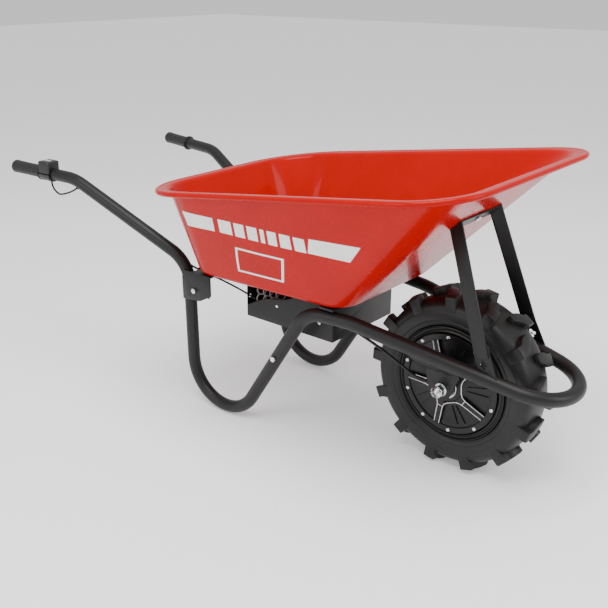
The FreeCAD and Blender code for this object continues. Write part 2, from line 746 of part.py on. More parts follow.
screw_holes = [cylinder(ring_spot(i, cover_y - 20), ring_spot(i, cover_y + 5), screw_d / 2)
               for i in range(screw_count)]
left_cover = motor_cover().cut(screw_holes)
parts["motor_cover_left"] = left_cover
parts["motor_cover_right"] = mirrored(left_cover)
left_screws = cover_screws()
parts["cover_screws_left"] = group(left_screws)
parts["cover_screws_right"] = group([mirrored(screw) for screw in left_screws])
rim_solid = rim_solid.cut(screw_holes + [mirrored(hole) for hole in screw_holes])
bearing = cylinder(at_axle(0, bearing_y[0], axle_z), at_axle(0, bearing_y[1], axle_z), bearing_r,
                   axle_d / 2 + 2 + running_gap)
parts["wheel_bearings"] = group([bearing, mirrored(bearing)])
boss = cylinder(at_axle(0, bearing_y[1], axle_z), at_axle(0, bearing_y[1] + 4, axle_z), 28.0,
                axle_d / 2 + 2 + moving_gap)
parts["hub_discs"] = group([boss, mirrored(boss)])


def tyre():
    """Carcass with bars of chevron tread, alternating left and right."""
    bead_r = rim_r - 8.0
    carcass_r = tyre_r - lug_height
    bead = [(bead_r, bead_y), (bead_r, rim_half_w - 9), (rim_r + 0.5, rim_half_w - 4.5),
            (rim_r + 0.5, rim_half_w + 1)]
    wall = [(rim_r + 18, tyre_half_w - 4), (rim_r + 34, tyre_half_w - 2), (carcass_r - 14, tyre_half_w - 6)]
    crown = [(carcass_r - 3, tyre_half_w - 22), (carcass_r, 20.0)]
    profile = bead + wall + crown
    inner = [(carcass_r - 9, 18.0), (carcass_r - 13, tyre_half_w - 26), (carcass_r - 24, tyre_half_w - 14),
             (rim_r + 16, tyre_half_w - 13), (rim_r + 2, bead_y + 9)]
    half = profile + [(r, -y) for r, y in reversed(profile)]
    hollow = inner + [(r, -y) for r, y in reversed(inner)]
    carcass = turned(half).cut(turned(hollow))
    groove = [(bead_r, -bead_y), (bead_r, bead_y), (rim_r + 3, bead_y + 7), (rim_r + 3, -bead_y - 7)]
    carcass = carcass.cut(turned(groove))
    lugs = []
    for side in (1, -1):
        for index in range(lug_count):
            root = Vec(0, 0, carcass_r - 30)
            outer_y = tyre_half_w + 2
            outline = [root + Vec(-2, -4, 0), root + Vec(12, outer_y, 0), root + Vec(-12, outer_y, 0),
                       root + Vec(-32, -4, 0)]
            lug = Part.Face(Part.makePolygon(outline + [outline[0]])).extrude(Vec(0, 0, 60))
            if side < 0:
                lug = mirrored(lug)
            half_pitch = 0.5 if side > 0 else 0.0
            turn = 90.0 - lug_phase - (index + half_pitch) * 360.0 / lug_count
            lug.rotate(Vec(0, 0, 0), Vec(0, 1, 0), turn)
            lug.translate(at_axle(0, 0, axle_z))
            lugs.append(lug)
    skin_half = [(carcass_r - 16, tyre_half_w - 4), (carcass_r - 4, tyre_half_w),
                 (tyre_r - 5, tyre_half_w), (tyre_r, tyre_half_w - 14)]
    skin = turned(skin_half + [(r, -y) for r, y in reversed(skin_half)])
    lugs = [lug.common(skin) for lug in lugs]
    keep_out = turned([(0, -30), (carcass_r - 8, -30), (carcass_r - 8, 30), (0, 30)])
    lugs = [lug.cut(keep_out) for lug in lugs]
    return carcass.fuse(lugs)


parts["tyre"] = tyre()
valve_angle = math.radians(205)
valve_ring_r = rim_r - 7.0
valve_d = 7.0
valve_foot = at_axle(valve_ring_r * math.cos(valve_angle), rim_half_w - 2.0,
                   axle_z + valve_ring_r * math.sin(valve_angle))
parts["valve_stem"] = cylinder(valve_foot, valve_foot + Vec(0, 18, 0), valve_d / 2)
parts["rim"] = rim_solid.cut(parts["valve_stem"])

# ---------------------------------------------------------------- battery box
def battery_box():
    """Sheet box hung under the pan. Its right side is cut to an arch, which shows the wiring."""
    low = box_between((box_rear_x, -box_half, box_bottom_z), (box_front_x, box_half, floor_z - 0.3))
    inside = box_between((box_rear_x + box_sheet, -box_half + box_sheet, box_bottom_z + box_sheet),
                         (box_front_x - box_sheet, box_half - box_sheet, floor_z + 10))
    shell = low.cut(inside)
    start = place(box_rear_x + box_sheet, -box_half - 5, box_bottom_z + 28.0)
    crown = place(box_rear_x + 128.0, -box_half - 5, box_bottom_z + 70.0)
    end = place(box_front_x - 62.0, -box_half - 5, floor_z + 5)
    arch = Part.Arc(start, place(box_rear_x + 60, -box_half - 5, box_bottom_z + 58.0), crown).toShape()
    corner = place(box_rear_x + box_sheet, -box_half - 5, floor_z + 5)
    rest = Part.makePolygon([crown, end, corner, start])
    opening = Part.Face(Part.Wire([arch] + rest.Edges)).extrude(Vec(0, 10, 0))
    hole_rear = cylinder(control_points[14], control_points[15], cable_hole_d / 2)
    hole_front = cylinder(place(box_front_x - 6, motor_cable_y, motor_exit_z),
                          place(box_front_x + 6, motor_cable_y, motor_exit_z), 6.0)
    return shell.cut([opening, mirrored(hole_rear), hole_front])


motor_exit_z = box_bottom_z + 32.0
strap_clear = box_between((pan_bolt_front[0] - strap_w / 2 - 2, -400, floor_z - strap_t - 1),
                          (pan_bolt_front[0] + strap_w / 2 + 2, 400, floor_z + 20))
parts["battery_box"] = battery_box().cut(strap_clear)
box_clear = 2.0
pack = box_between((box_rear_x + 118, -box_half + box_sheet + box_clear + 4, box_bottom_z + box_sheet + 0.2),
                   (box_front_x - box_sheet - box_clear, box_half - box_sheet - box_clear - 4,
                    box_bottom_z + box_sheet + 58))
pack = pack.cut(box_between((box_front_x - 60, -box_half, box_bottom_z + 15),
                            (box_front_x, motor_cable_y + 20, floor_z)))
parts["battery_pack"] = pack
unit = box_between((box_front_x - box_sheet - 120, -58, box_bottom_z + box_sheet + 58),
                   (box_front_x - box_sheet, 58, box_bottom_z + box_sheet + 92))
parts["motor_controller"] = unit.makeFillet(3.0, unit.Edges)
rivet_spots = [(box_rear_x + 100.0, box_bottom_z + 49.0), (box_front_x - 40.0, box_bottom_z + 40.0)]
rivets = []
for x, z in rivet_spots:
    for side in (1, -1):
        rivets.append(cylinder(place(x, side * box_half, z), place(x, side * (box_half + 2.0), z), 3.5))
parts["box_rivets"] = group(rivets)

# ---------------------------------------------------------------- grips and controls
grip_r = 17.8
grip_len = 112.0
flange_r = 22.0
housing_len = 40.0


def along_grip(distance):
    """A point on the left stub's axis, measured forward from the grip's outer end."""
    return grip_end_point - grip_back * distance


def grip(bore):
    """A moulded grip with a closed end and a flange at its inner end."""
    body = cylinder(along_grip(grip_len), along_grip(0), grip_r)
    flange = cylinder(along_grip(grip_len), along_grip(grip_len - 4), flange_r)
    hollow = cylinder(along_grip(grip_len + 1), along_grip(3.0), bore)
    return body.fuse(flange).cut(hollow).removeSplitter()


parts["grip_left"] = grip(stub_r)
parts["throttle_grip"] = mirrored(grip(stub_r + running_gap))

up_axis = Vec(0, 0, 1)
housing_side = grip_back.cross(up_axis).normalize()
housing_up = housing_side.cross(grip_back).normalize()
if housing_up.z < 0:
    housing_up = housing_up * -1


def housing_point(distance, side, up):
    """A point by the control housing: distance from the grip's end, sideways and up from the axis."""
    return along_grip(distance) + housing_side * side + housing_up * up


def housing_block(d0, d1, s0, s1, u0, u1):
    """A box lined up with the control housing."""
    points = [housing_point(d0, s0, u0), housing_point(d0, s1, u0), housing_point(d0, s1, u1),
              housing_point(d0, s0, u1)]
    return plate(points, grip_back * (d0 - d1))


housing_start = grip_len + 1.5
housing_end = housing_start + housing_len
stub_core = cylinder(along_grip(-5), along_grip(stub_len_right - 2), stub_r)
upper = housing_block(housing_start, housing_end, -21, 21, 0.3, 34)
upper = upper.makeChamfer(3.0, [e for e in upper.Edges if e.Length > 30])
lower_ring = cylinder(along_grip(housing_end), along_grip(housing_start), 21.0)
lower_half = housing_block(housing_start - 5, housing_end + 5, -40, 40, -40, -0.3)
lens_pocket = housing_block(housing_start + 6, housing_end - 8, -13, 13, 32, 40)
display_lens = housing_block(housing_start + 6, housing_end - 8, -13, 13, 32, 34.6)
board = housing_block(housing_start + 4, housing_end - 4, -15, 14, 16, 17.6)
board_room = housing_block(housing_start + 3, housing_end - 3, -17, 17, 16, 31)
button_travel = 1.5
button_gap = 0.4


def button(d_mid, s_out, height, radius):
    """A round key on the inboard side of the housing, with the room it moves in."""
    axis_in = housing_side * (-1 if s_out > 0 else 1)
    face = housing_point(d_mid, s_out, height)
    key = cylinder(face - axis_in * 2.0, face + axis_in * 4.0, radius)
    room = cylinder(face - axis_in * 3.0, face + axis_in * (4.0 + button_travel + 0.4), radius + button_gap)
    return key, room, axis_in


inboard = 21.0 if housing_side.y < 0 else -21.0
power_key, power_room, key_axis = button(housing_start + 12, inboard, 24.0, 4.0)
mode_key, mode_room, _ = button(housing_start + 27, inboard, 24.0, 4.0)
housing = upper.cut([stub_core, lens_pocket, board_room, power_room, mode_room])
clamp_half = lower_ring.common(lower_half).cut(stub_core)
screw_axis_points = [(housing_start + 7, 16.0), (housing_end - 7, 16.0)]
housing_screws = []
for distance, side_offset in screw_axis_points:
    for sign in (1, -1):
        low_end = housing_point(distance, sign * side_offset, -12.0)
        high_end = housing_point(distance, sign * side_offset, 12.0)
        housing_screws.append(cylinder(low_end, high_end, 1.8))
housing = housing.cut(housing_screws)
clamp_half = clamp_half.cut(housing_screws)
parts["throttle_housing"] = mirrored(housing)
parts["throttle_clamp"] = mirrored(clamp_half)
parts["housing_screws"] = group([mirrored(screw) for screw in housing_screws])
parts["display_lens"] = mirrored(display_lens)
parts["display_board"] = mirrored(board)
parts["power_button"] = mirrored(power_key)
parts["direction_button"] = mirrored(mode_key)


# ---------------------------------------------------------------- cables
def cable_radii(points):
    """Arcs as large as the two runs beside each corner allow."""
    radii = []
    for before, corner, after in zip(points, points[1:], points[2:]):
        shorter = min((corner - before).Length, (after - corner).Length)
        turn = (corner - before).getAngle(after - corner)
        radii.append(0.45 * shorter / math.tan(turn / 2))
    return radii


def cable(name, points, diameter):
    """A round cable of straight runs and tangent arcs."""
    radii = cable_radii(points)
    wire = bent_wire(points, radii)
    shape = swept(wire, diameter / 2)
    section = math.pi * diameter * diameter / 4
    print(name, "length", round(wire.Length, 1), "volume over section", round(shape.Volume / section, 1))
    return shape


motor_route = [(box_front_x - 40.0, motor_cable_y, motor_exit_z + 3.0),
               (box_front_x - 8.0, motor_cable_y - 1.0, motor_exit_z),
               (box_front_x + 34.0, motor_cable_y - 2.0, 280.0),
               (-196.0, motor_cable_y - 3.0, 264.0), (-132.0, motor_cable_y - 2.0, 237.0),
               (-82.5, motor_cable_y - 1.0, 214.0), (-42.5, motor_cable_y, axle_z + 0.6),
               (-14.5, motor_cable_y, axle_z)]
parts["motor_cable"] = cable("motor_cable", [place(*point) for point in motor_route], motor_cable_d)
parts["control_cable"] = mirrored(cable("control_cable", control_points, cable_d))
parts["throttle_clamp"] = parts["throttle_clamp"].cut(parts["control_cable"])


def grommet(point, along, hole_d, bore_d, wall):
    """A rubber ring seated in a hole in a thin wall, with a lip on each face."""
    axis = Vec(along).normalize()
    core = cylinder(point - axis * (wall / 2 + 1.2), point + axis * (wall / 2 + 1.2), hole_d / 2 + 1.8)
    seat = cylinder(point - axis * wall / 2, point + axis * wall / 2, hole_d, hole_d / 2)
    bore = cylinder(point - axis * 10, point + axis * 10, bore_d / 2)
    return core.cut([seat, bore])


front_hole = place(box_front_x - box_sheet / 2, motor_cable_y, motor_exit_z)
front_grommet = grommet(front_hole, Vec(1, 0, 0), 12.0, motor_cable_d + 0.4, box_sheet)
parts["cable_grommet"] = front_grommet.cut(parts["motor_cable"])

loom_coil_r = 12.0
loom_wire_r = 2.0
loom_loops = []
for row, (start_y, height, shift) in enumerate([(-92.0, 66.0, 0.0), (-104.0, 48.0, 9.0)]):
    for index in range(4):
        centre = place(box_rear_x + 24.0 + shift + index * 21.0, start_y, box_bottom_z + height)
        loom_loops.append(Part.makeTorus(loom_coil_r, loom_wire_r, centre, Vec(1.0, -0.5, 0.35).normalize()))
parts["wiring_loom"] = group(loom_loops)
plugs = []
for index in range(3):
    x = box_rear_x + 14.0
    y = -20.0 + index * 34.0
    plug_body = box_between((x, y, box_bottom_z + box_sheet), (x + 40.0, y + 24.0, box_bottom_z + 24.0))
    plugs.append(plug_body.makeFillet(2.0, plug_body.Edges))
parts["cable_connectors"] = group(plugs)

# ---------------------------------------------------------------- output
os.makedirs("parts", exist_ok=True)
for name, shape in parts.items():
    shape.exportStep("parts/" + name + ".step")
    print(name, len(shape.Solids), shape.isValid(), round(shape.Volume / 1000.0, 1))
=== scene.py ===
# %% [markdown]
# # A power wheelbarrow
# The barrow is a bent-tube frame that carries a pressed steel pan. A motor sits inside its single front
# wheel, a battery box hangs under the pan, and a twist throttle with a small display is on the right-hand
# handle. The CAD model comes in first, as a fixed frame in metres, so every piece below is put where the
# CAD says.

# %% Load the frame
import json
import math

import bmesh
import bpy
from mathutils import Matrix, Vector


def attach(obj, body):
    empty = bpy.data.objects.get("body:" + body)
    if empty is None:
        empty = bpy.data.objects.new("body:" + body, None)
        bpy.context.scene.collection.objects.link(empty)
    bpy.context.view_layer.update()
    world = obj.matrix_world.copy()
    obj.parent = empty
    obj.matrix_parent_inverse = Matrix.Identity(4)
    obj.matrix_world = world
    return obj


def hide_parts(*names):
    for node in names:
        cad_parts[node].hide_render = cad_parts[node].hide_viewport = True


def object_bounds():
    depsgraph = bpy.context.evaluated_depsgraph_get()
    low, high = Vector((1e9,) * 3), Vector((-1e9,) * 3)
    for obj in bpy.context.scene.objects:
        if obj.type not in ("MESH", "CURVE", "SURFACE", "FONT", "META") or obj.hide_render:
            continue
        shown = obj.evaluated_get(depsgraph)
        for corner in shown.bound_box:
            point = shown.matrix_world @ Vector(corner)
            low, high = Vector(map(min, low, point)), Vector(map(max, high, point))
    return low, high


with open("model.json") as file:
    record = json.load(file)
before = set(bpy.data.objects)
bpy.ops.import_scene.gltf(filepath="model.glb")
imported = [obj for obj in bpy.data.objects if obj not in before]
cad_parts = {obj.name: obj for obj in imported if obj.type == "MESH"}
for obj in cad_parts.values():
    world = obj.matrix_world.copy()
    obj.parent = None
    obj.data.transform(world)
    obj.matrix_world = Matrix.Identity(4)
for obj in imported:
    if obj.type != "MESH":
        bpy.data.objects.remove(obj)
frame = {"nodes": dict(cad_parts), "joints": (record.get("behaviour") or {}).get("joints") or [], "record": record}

radians = math.radians
cad_size = [list(corner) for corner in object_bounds()]
print("box in metres:", [[round(number, 3) for number in corner] for corner in cad_size])

# %% [markdown]
# ## Where things are
# Places are given in millimetres: along the barrow from the cross line that its tubes were laid out from,
# from its middle plane to the left, and up from the ground. The wheel's spin joint says where the axle is,
# and the cross line lies 10.5 mm ahead of it.

# %% Places
wheel_joint = next(joint for joint in frame["joints"] if joint["name"] == "wheel_spin")
AXLE = Vector(wheel_joint["pos_m"])
ACROSS = Vector((0, 1, 0))
UP = Vector((0, 0, 1))


CROSS_LINE = AXLE.x + 0.0105


def spot(x, y, z):
    """A point in metres from millimetres ahead of the cross line, to the left, and above the ground."""
    return Vector((CROSS_LINE + x / 1000, y / 1000, z / 1000))


print("axle at", [round(number, 4) for number in AXLE])

# %% [markdown]
# ## Camera
# A barrow is usually shown from its right-hand front corner, from a little above the handles, because that
# view shows the pan, the wheel and the controls together. A longish lens keeps the tubes from splaying.

# %% Camera
lens = bpy.data.cameras.new("camera")
lens.sensor_width = 36
lens.lens = 51.23
lens.shift_x = 0.0192
lens.shift_y = -0.0439
camera = bpy.data.objects.new("camera", lens)
bpy.context.scene.collection.objects.link(camera)
camera.location = (1.3539, -1.6121, 1.0863)
heading = 0.7011
tilt = 0.342
looking = Vector((-math.sin(heading) * math.cos(tilt), math.cos(heading) * math.cos(tilt), -math.sin(tilt)))
camera.rotation_euler = looking.to_track_quat("-Z", "Y").to_euler()
bpy.context.scene.camera = camera
print("camera", round((camera.location - AXLE).length, 2), "m from the axle")

# %% [markdown]
# ## Light and floor
# Machines like this are shown in a white studio. A near-white world fills every side evenly. A large soft
# light above gives the tubes their long highlights, and two weaker ones shape the pan and the wheel.


# %% Light and floor
def soft_light(name, place, target, size, power):
    """A square area light that faces a target."""
    lamp = bpy.data.lights.new(name, "AREA")
    lamp.size = size
    lamp.energy = power
    holder = bpy.data.objects.new(name, lamp)
    bpy.context.scene.collection.objects.link(holder)
    holder.location = place
    holder.rotation_euler = (Vector(target) - Vector(place)).to_track_quat("-Z", "Y").to_euler()
    return holder


world = bpy.data.worlds.new("studio")
world.use_nodes = True
world.node_tree.nodes["Background"].inputs["Color"].default_value = (1.0, 1.0, 1.0, 1.0)
world.node_tree.nodes["Background"].inputs["Strength"].default_value = 0.8
bpy.context.scene.world = world
soft_light("light_above", (0.6, -0.8, 3.0), (0.0, 0.0, 0.4), 2.0, 110)
soft_light("light_front", (3.0, 0.6, 1.6), (0.2, 0.0, 0.3), 1.4, 34)
soft_light("light_side", (-0.9, -3.0, 1.5), (0.0, 0.0, 0.3), 1.4, 26)

# %% [markdown]
# ## Shader maths
# A finish is easier to read as arithmetic than as a web of nodes. Value wraps one socket, so that an
# ordinary expression such as 1 - mask * 0.3 adds the Math nodes it needs. Finish holds one material and
# adds any other node from its type, its settings and what goes into its sockets.


# %% Value and Finish
class Value:
    """One socket of a finish, usable in plain arithmetic."""

    def __init__(self, finish, socket):
        self.finish = finish
        self.socket = socket

    def maths(self, operation, first, second=0.0):
        return self.finish.add("ShaderNodeMath", {"operation": operation}, {0: first, 1: second})

    def __add__(self, other):
        return self.maths("ADD", self, other)

    def __sub__(self, other):
        return self.maths("SUBTRACT", self, other)

    def __rsub__(self, other):
        return self.maths("SUBTRACT", other, self)

    def __mul__(self, other):
        return self.maths("MULTIPLY", self, other)

    __radd__ = __add__
    __rmul__ = __mul__

    def sine(self):
        return self.maths("SINE", self)


class Finish:
    """A material in the making."""

    def __init__(self, name, colour, **uniform):
        self.material = bpy.data.materials.new(name)
        self.material.use_nodes = True
        self.tree = self.material.node_tree
        self.shader = self.tree.nodes["Principled BSDF"]
        self.colour = (*colour, 1.0)
        self.set("Base Color", self.colour)
        for socket, number in uniform.items():
            self.set(socket.replace("_", " "), number)

    def set(self, socket, given):
        self.feed(self.shader.inputs[socket], given)

    def feed(self, socket, given):
        if isinstance(given, Value):
            self.tree.links.new(given.socket, socket)
        else:
            socket.default_value = given

    def add(self, kind, settings, sockets, output=0):
        """Adds a node: its type, its settings, then the values or links of its sockets."""
        node = self.tree.nodes.new(kind)
        for name, setting in settings.items():
            if name == "stops":
                for stop, (place, shade) in zip(node.color_ramp.elements, setting):
                    stop.position = place
                    stop.color = shade
            else:
                setattr(node, name, setting)
        for socket, given in sockets.items():
            self.feed(node.inputs[socket], given)
        return Value(self, node.outputs[output])

    def place(self):
        """Object coordinates, in metres."""
        return self.add("ShaderNodeTexCoord", {}, {}, "Object")

    def noise(self, size_mm, detail=2.0, place=None):
        """Cloudy noise whose blotches are about this many millimetres across."""
        sockets = {"Vector": place or self.place(), "Scale": 1000 / size_mm, "Detail": detail}
        return self.add("ShaderNodeTexNoise", {}, sockets)

    def blend(self, factor, first, second):
        """Mixes two colours."""
        return self.add("ShaderNodeMix", {"data_type": "RGBA"}, {0: factor, 6: first, 7: second}, 2)

    def bump(self, height, depth_mm, strength=1.0):
        normal = self.add("ShaderNodeBump", {}, {"Height": height, "Distance": depth_mm / 1000,
                                                 "Strength": strength})
        self.set("Normal", normal)


def shade(colour, factor):
    """The same colour, lighter or darker."""
    return tuple(min(1.0, part * factor) for part in colour) + (1.0,)


# %% [markdown]
# ## Finishes
# The pan is wet-looking red enamel with the faint orange peel of a sprayed coat. The tubes and brackets
# have powder coat, which is satin and finely pimpled. Rubber is dull and a little dusty, and bare metal
# carries the fine rings or grain that its machining left. Each finish starts from one colour and varies it
# slightly, because a single flat colour looks like plastic.


# %% Painted and plated finishes
def enamel():
    red = (0.40, 0.0008, 0.0004)
    finish = Finish("red_enamel", red, Coat_Roughness=0.05, Coat_IOR=1.4, IOR=1.4, Specular_IOR_Level=0.06)
    clouds = finish.noise(90, 3.0)
    peel = finish.noise(6, 1.0)
    dust = finish.noise(14, 4.0)
    finish.set("Base Color", finish.blend(clouds, shade(red, 0.86), shade(red, 1.12)))
    finish.set("Roughness", dust * 0.12 + 0.2)
    finish.set("Coat Weight", 0.24 - dust * 0.08)
    finish.bump(peel, 0.02, 0.05)
    return finish.material


def powder_coat(name, black, roughness, pimple_mm):
    finish = Finish(name, (black, black, black * 1.02), Specular_IOR_Level=0.3)
    pimples = finish.noise(pimple_mm, 2.0)
    wear = finish.noise(40, 4.0)
    finish.set("Base Color", finish.blend(wear, shade((black,) * 3, 0.8), shade((black,) * 3, 1.3)))
    finish.set("Roughness", wear * 0.12 + pimples * 0.06 + roughness)
    finish.bump(pimples, 0.05, 0.5)
    return finish.material


def bare_metal(name, grey, roughness, grain_mm, stretch):
    """Plated or machined metal, its grain drawn out along the axle."""
    finish = Finish(name, (grey, grey, grey), Metallic=1.0)
    along = finish.add("ShaderNodeMapping", {}, {"Vector": finish.place(), "Scale": (1.0, 1.0 / stretch, 1.0)})
    grain = finish.noise(grain_mm, 3.0, along)
    stain = finish.noise(9, 3.0)
    finish.set("Base Color", finish.blend(stain, shade((grey,) * 3, 0.82), shade((grey,) * 3, 1.1)))
    finish.set("Roughness", grain * 0.2 + roughness)
    finish.bump(grain, 0.02, 0.4)
    return finish.material


def rubber(name, black, roughness, pore_mm, dust_tone):
    finish = Finish(name, (black,) * 3, Specular_IOR_Level=0.3)
    pores = finish.noise(pore_mm, 3.0)
    dust = finish.noise(55, 5.0)
    mask = dust * dust
    finish.set("Base Color", finish.blend(mask, shade((black,) * 3, 0.9), dust_tone))
    finish.set("Roughness", roughness + pores * 0.16)
    finish.bump(pores, 0.12, 0.6)
    return finish.material


def moulded(name, colour, roughness, grain_mm):
    finish = Finish(name, colour)
    grain = finish.noise(grain_mm, 1.0)
    rub = finish.noise(20, 3.0)
    finish.set("Base Color", finish.blend(rub, shade(colour, 0.85), shade(colour, 1.2)))
    finish.set("Roughness", grain * 0.1 + roughness)
    finish.bump(grain, 0.06, 0.5)
    return finish.material


finishes = {
    "red_enamel": enamel(),
    "black_powder_coat": powder_coat("black_powder_coat", 0.008, 0.34, 0.9),
    "motor_black": powder_coat("motor_black", 0.005, 0.26, 1.6),
    "machined_alloy": bare_metal("machined_alloy", 0.62, 0.18, 1.4, 6.0),
    "zinc_plated": bare_metal("zinc_plated", 0.72, 0.16, 2.2, 1.0),
    "plain_steel": bare_metal("plain_steel", 0.4, 0.28, 1.6, 3.0),
    "copper_wire": bare_metal("copper_wire", 0.45, 0.3, 1.0, 1.0),
    "tyre_rubber": rubber("tyre_rubber", 0.007, 0.36, 2.2, (0.020, 0.020, 0.019, 1.0)),
    "grip_rubber": rubber("grip_rubber", 0.008, 0.45, 0.8, (0.018, 0.018, 0.018, 1.0)),
    "cable_sheath": rubber("cable_sheath", 0.006, 0.34, 1.2, (0.015, 0.015, 0.015, 1.0)),
    "loom_sleeve": moulded("loom_sleeve", (0.28, 0.28, 0.29), 0.34, 1.0),
    "black_plastic": moulded("black_plastic", (0.007, 0.007, 0.0075), 0.4, 0.6),
    "circuit_board": moulded("circuit_board", (0.012, 0.09, 0.035), 0.4, 0.8),
    "display_glass": moulded("display_glass", (0.03, 0.033, 0.036), 0.08, 3.0),
}
white_vinyl = moulded("white_vinyl", (0.82, 0.82, 0.8), 0.3, 2.0)
print(len(finishes) + 1, "finishes:", ", ".join(finishes))

# %% Floor
bpy.ops.object.select_all(action="DESELECT")
bpy.ops.mesh.primitive_plane_add(size=30, location=(0, 0, cad_size[0][2]))
floor = bpy.context.active_object
floor.name = "studio_floor"
floor_finish = Finish("studio_floor", (0.92, 0.92, 0.92), Roughness=0.6, Emission_Strength=0.25)
floor_tone = floor_finish.noise(400, 2.0)
floor_finish.set("Base Color", floor_finish.blend(floor_tone, (0.91, 0.91, 0.91, 1), (0.94, 0.94, 0.94, 1)))
floor.data.materials.append(floor_finish.material)
floor_finish.set("Emission Color", (1.0, 1.0, 1.0, 1.0))
print("floor at", round(floor.location.z, 4))

# %% Every CAD node takes the finish of its slot
slots = {row["node"]: row["material_slot"] for row in frame["record"]["subparts"]}
for node, piece in frame["nodes"].items():
    piece.data.materials.clear()
    piece.data.materials.append(finishes[slots[node]])
print(len(slots), "CAD nodes finished")

# %% [markdown]
# ## Modelling helpers
# The pieces are modelled as by hand: a primitive is added where the piece starts, then edit-mode tools
# shape it. Most of this machine is either bent (tubes, cables, the strut) or turned (tyre, rim, covers,
# grips), so two helpers do most of the work. Both keep one ring selected and extrude it on, so each step
# starts where the last one stopped.


# %% Opening, closing, copying
def begin(name, adder, **settings):
    """Adds a primitive, puts its place into its mesh and opens it with all of it selected."""
    bpy.ops.object.select_all(action="DESELECT")
    adder(**settings)
    bpy.ops.object.transform_apply(location=True, rotation=True, scale=True)
    piece = bpy.context.active_object
    piece.name = name
    piece.data.name = name
    bpy.ops.object.mode_set(mode="EDIT")
    bpy.ops.mesh.select_mode(type="VERT")
    bpy.ops.mesh.select_all(action="SELECT")
    return piece


def close(piece, crease=35, merge=0.00002, recalculate=True):
    """Merges doubles, turns the faces outwards and shades all but the sharp edges smooth."""
    bpy.ops.mesh.select_all(action="SELECT")
    bpy.ops.mesh.remove_doubles(threshold=merge)
    if recalculate:
        bpy.ops.mesh.normals_make_consistent(inside=False)
    bpy.ops.object.mode_set(mode="OBJECT")
    bpy.ops.object.shade_smooth_by_angle(angle=radians(crease))
    return piece


def reopen(piece):
    """Makes a piece the only one selected, and opens it for editing."""
    bpy.ops.object.select_all(action="DESELECT")
    piece.select_set(True)
    bpy.context.view_layer.objects.active = piece
    bpy.ops.object.mode_set(mode="EDIT")


def pick(piece, kind, wanted):
    """Selects the vertices, edges or faces that wanted() says yes to."""
    bpy.ops.mesh.select_mode(type=kind)
    bpy.ops.mesh.select_all(action="DESELECT")
    mesh = bmesh.from_edit_mesh(piece.data)
    things = {"VERT": mesh.verts, "EDGE": mesh.edges, "FACE": mesh.faces}[kind]
    for thing in things:
        if wanted(thing):
            thing.select_set(True)
    mesh.select_flush_mode()
    bmesh.update_edit_mesh(piece.data)


def stretch(by):
    """Extrudes what is selected and moves it."""
    bpy.ops.mesh.extrude_region_move(TRANSFORM_OT_translate={"value": tuple(by)})


def apply_modifier(piece, name, kind, **settings):
    """Adds a modifier, sets it and applies it."""
    bpy.ops.object.select_all(action="DESELECT")
    piece.select_set(True)
    bpy.context.view_layer.objects.active = piece
    modifier = piece.modifiers.new(name, kind)
    for setting, given in settings.items():
        setattr(modifier, setting, given)
    bpy.ops.object.modifier_apply(modifier=name)


def copy_of(piece, name, matrix=Matrix.Identity(4)):
    """A copy with its own mesh, moved by a matrix that goes straight into that mesh."""
    bpy.ops.object.select_all(action="DESELECT")
    piece.select_set(True)
    bpy.context.view_layer.objects.active = piece
    bpy.ops.object.duplicate(linked=False)
    copy = bpy.context.active_object
    copy.name = name
    copy.data.name = name
    copy.matrix_world = matrix @ copy.matrix_world
    bpy.ops.object.transform_apply(location=True, rotation=True, scale=True)
    if matrix.determinant() < 0:
        reopen(copy)
        bpy.ops.mesh.select_all(action="SELECT")
        bpy.ops.mesh.normals_make_consistent(inside=False)
        bpy.ops.object.mode_set(mode="OBJECT")
    return copy


def joined(pieces, name):
    """Joins pieces into the first one."""
    bpy.ops.object.select_all(action="DESELECT")
    for piece in pieces:
        piece.select_set(True)
    bpy.context.view_layer.objects.active = pieces[0]
    bpy.ops.object.join()
    pieces[0].name = name
    pieces[0].data.name = name
    return pieces[0]


OTHER_SIDE = Matrix.Scale(-1, 4, ACROSS)


def about_axle(degrees):
    """A turn about the wheel's axle."""
    return Matrix.Translation(AXLE) @ Matrix.Rotation(radians(degrees), 4, "Y") @ Matrix.Translation(-AXLE)


def hand_over(piece, slot, body, *nodes, finish=None):
    """Gives a finished piece its material and its body, and hides the CAD nodes that it replaces."""
    piece.data.materials.clear()
    piece.data.materials.append(finish or finishes[slot])
    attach(piece, body)
    if nodes:
        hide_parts(*nodes)
    print(piece.name, len(piece.data.polygons), "faces")


# %% Bent and turned pieces
def bend_on(points, bends, step=6.0):
    """Extrudes the selected ring along straight runs, and spins it round a bend at each inner corner."""
    here = points[0]
    for before, corner, after, bend in zip(points, points[1:], points[2:], bends):
        into = (corner - before).normalized()
        out = (after - corner).normalized()
        turned_by = into.angle(out)
        reach = bend * math.tan(turned_by / 2)
        start = corner - into * reach
        stretch(start - here)
        hinge = into.cross(out).normalized()
        centre = start + hinge.cross(into) * bend
        steps = max(3, round(math.degrees(turned_by) / step))
        bpy.ops.mesh.spin(steps=steps, angle=-turned_by, center=centre, axis=hinge)
        here = corner + out * reach
    stretch(points[-1] - here)


def bent_tube(name, points, bends, radius, sides=28, step=6.0):
    """A round bar or tube along straight runs with a bend at each corner."""
    facing = (points[1] - points[0]).to_track_quat("Z", "Y").to_euler()
    tube = begin(name, bpy.ops.mesh.primitive_circle_add, vertices=sides, radius=radius,
                 fill_type="NGON", location=points[0], rotation=facing)
    bend_on(points, bends, step)
    return close(tube, 50)


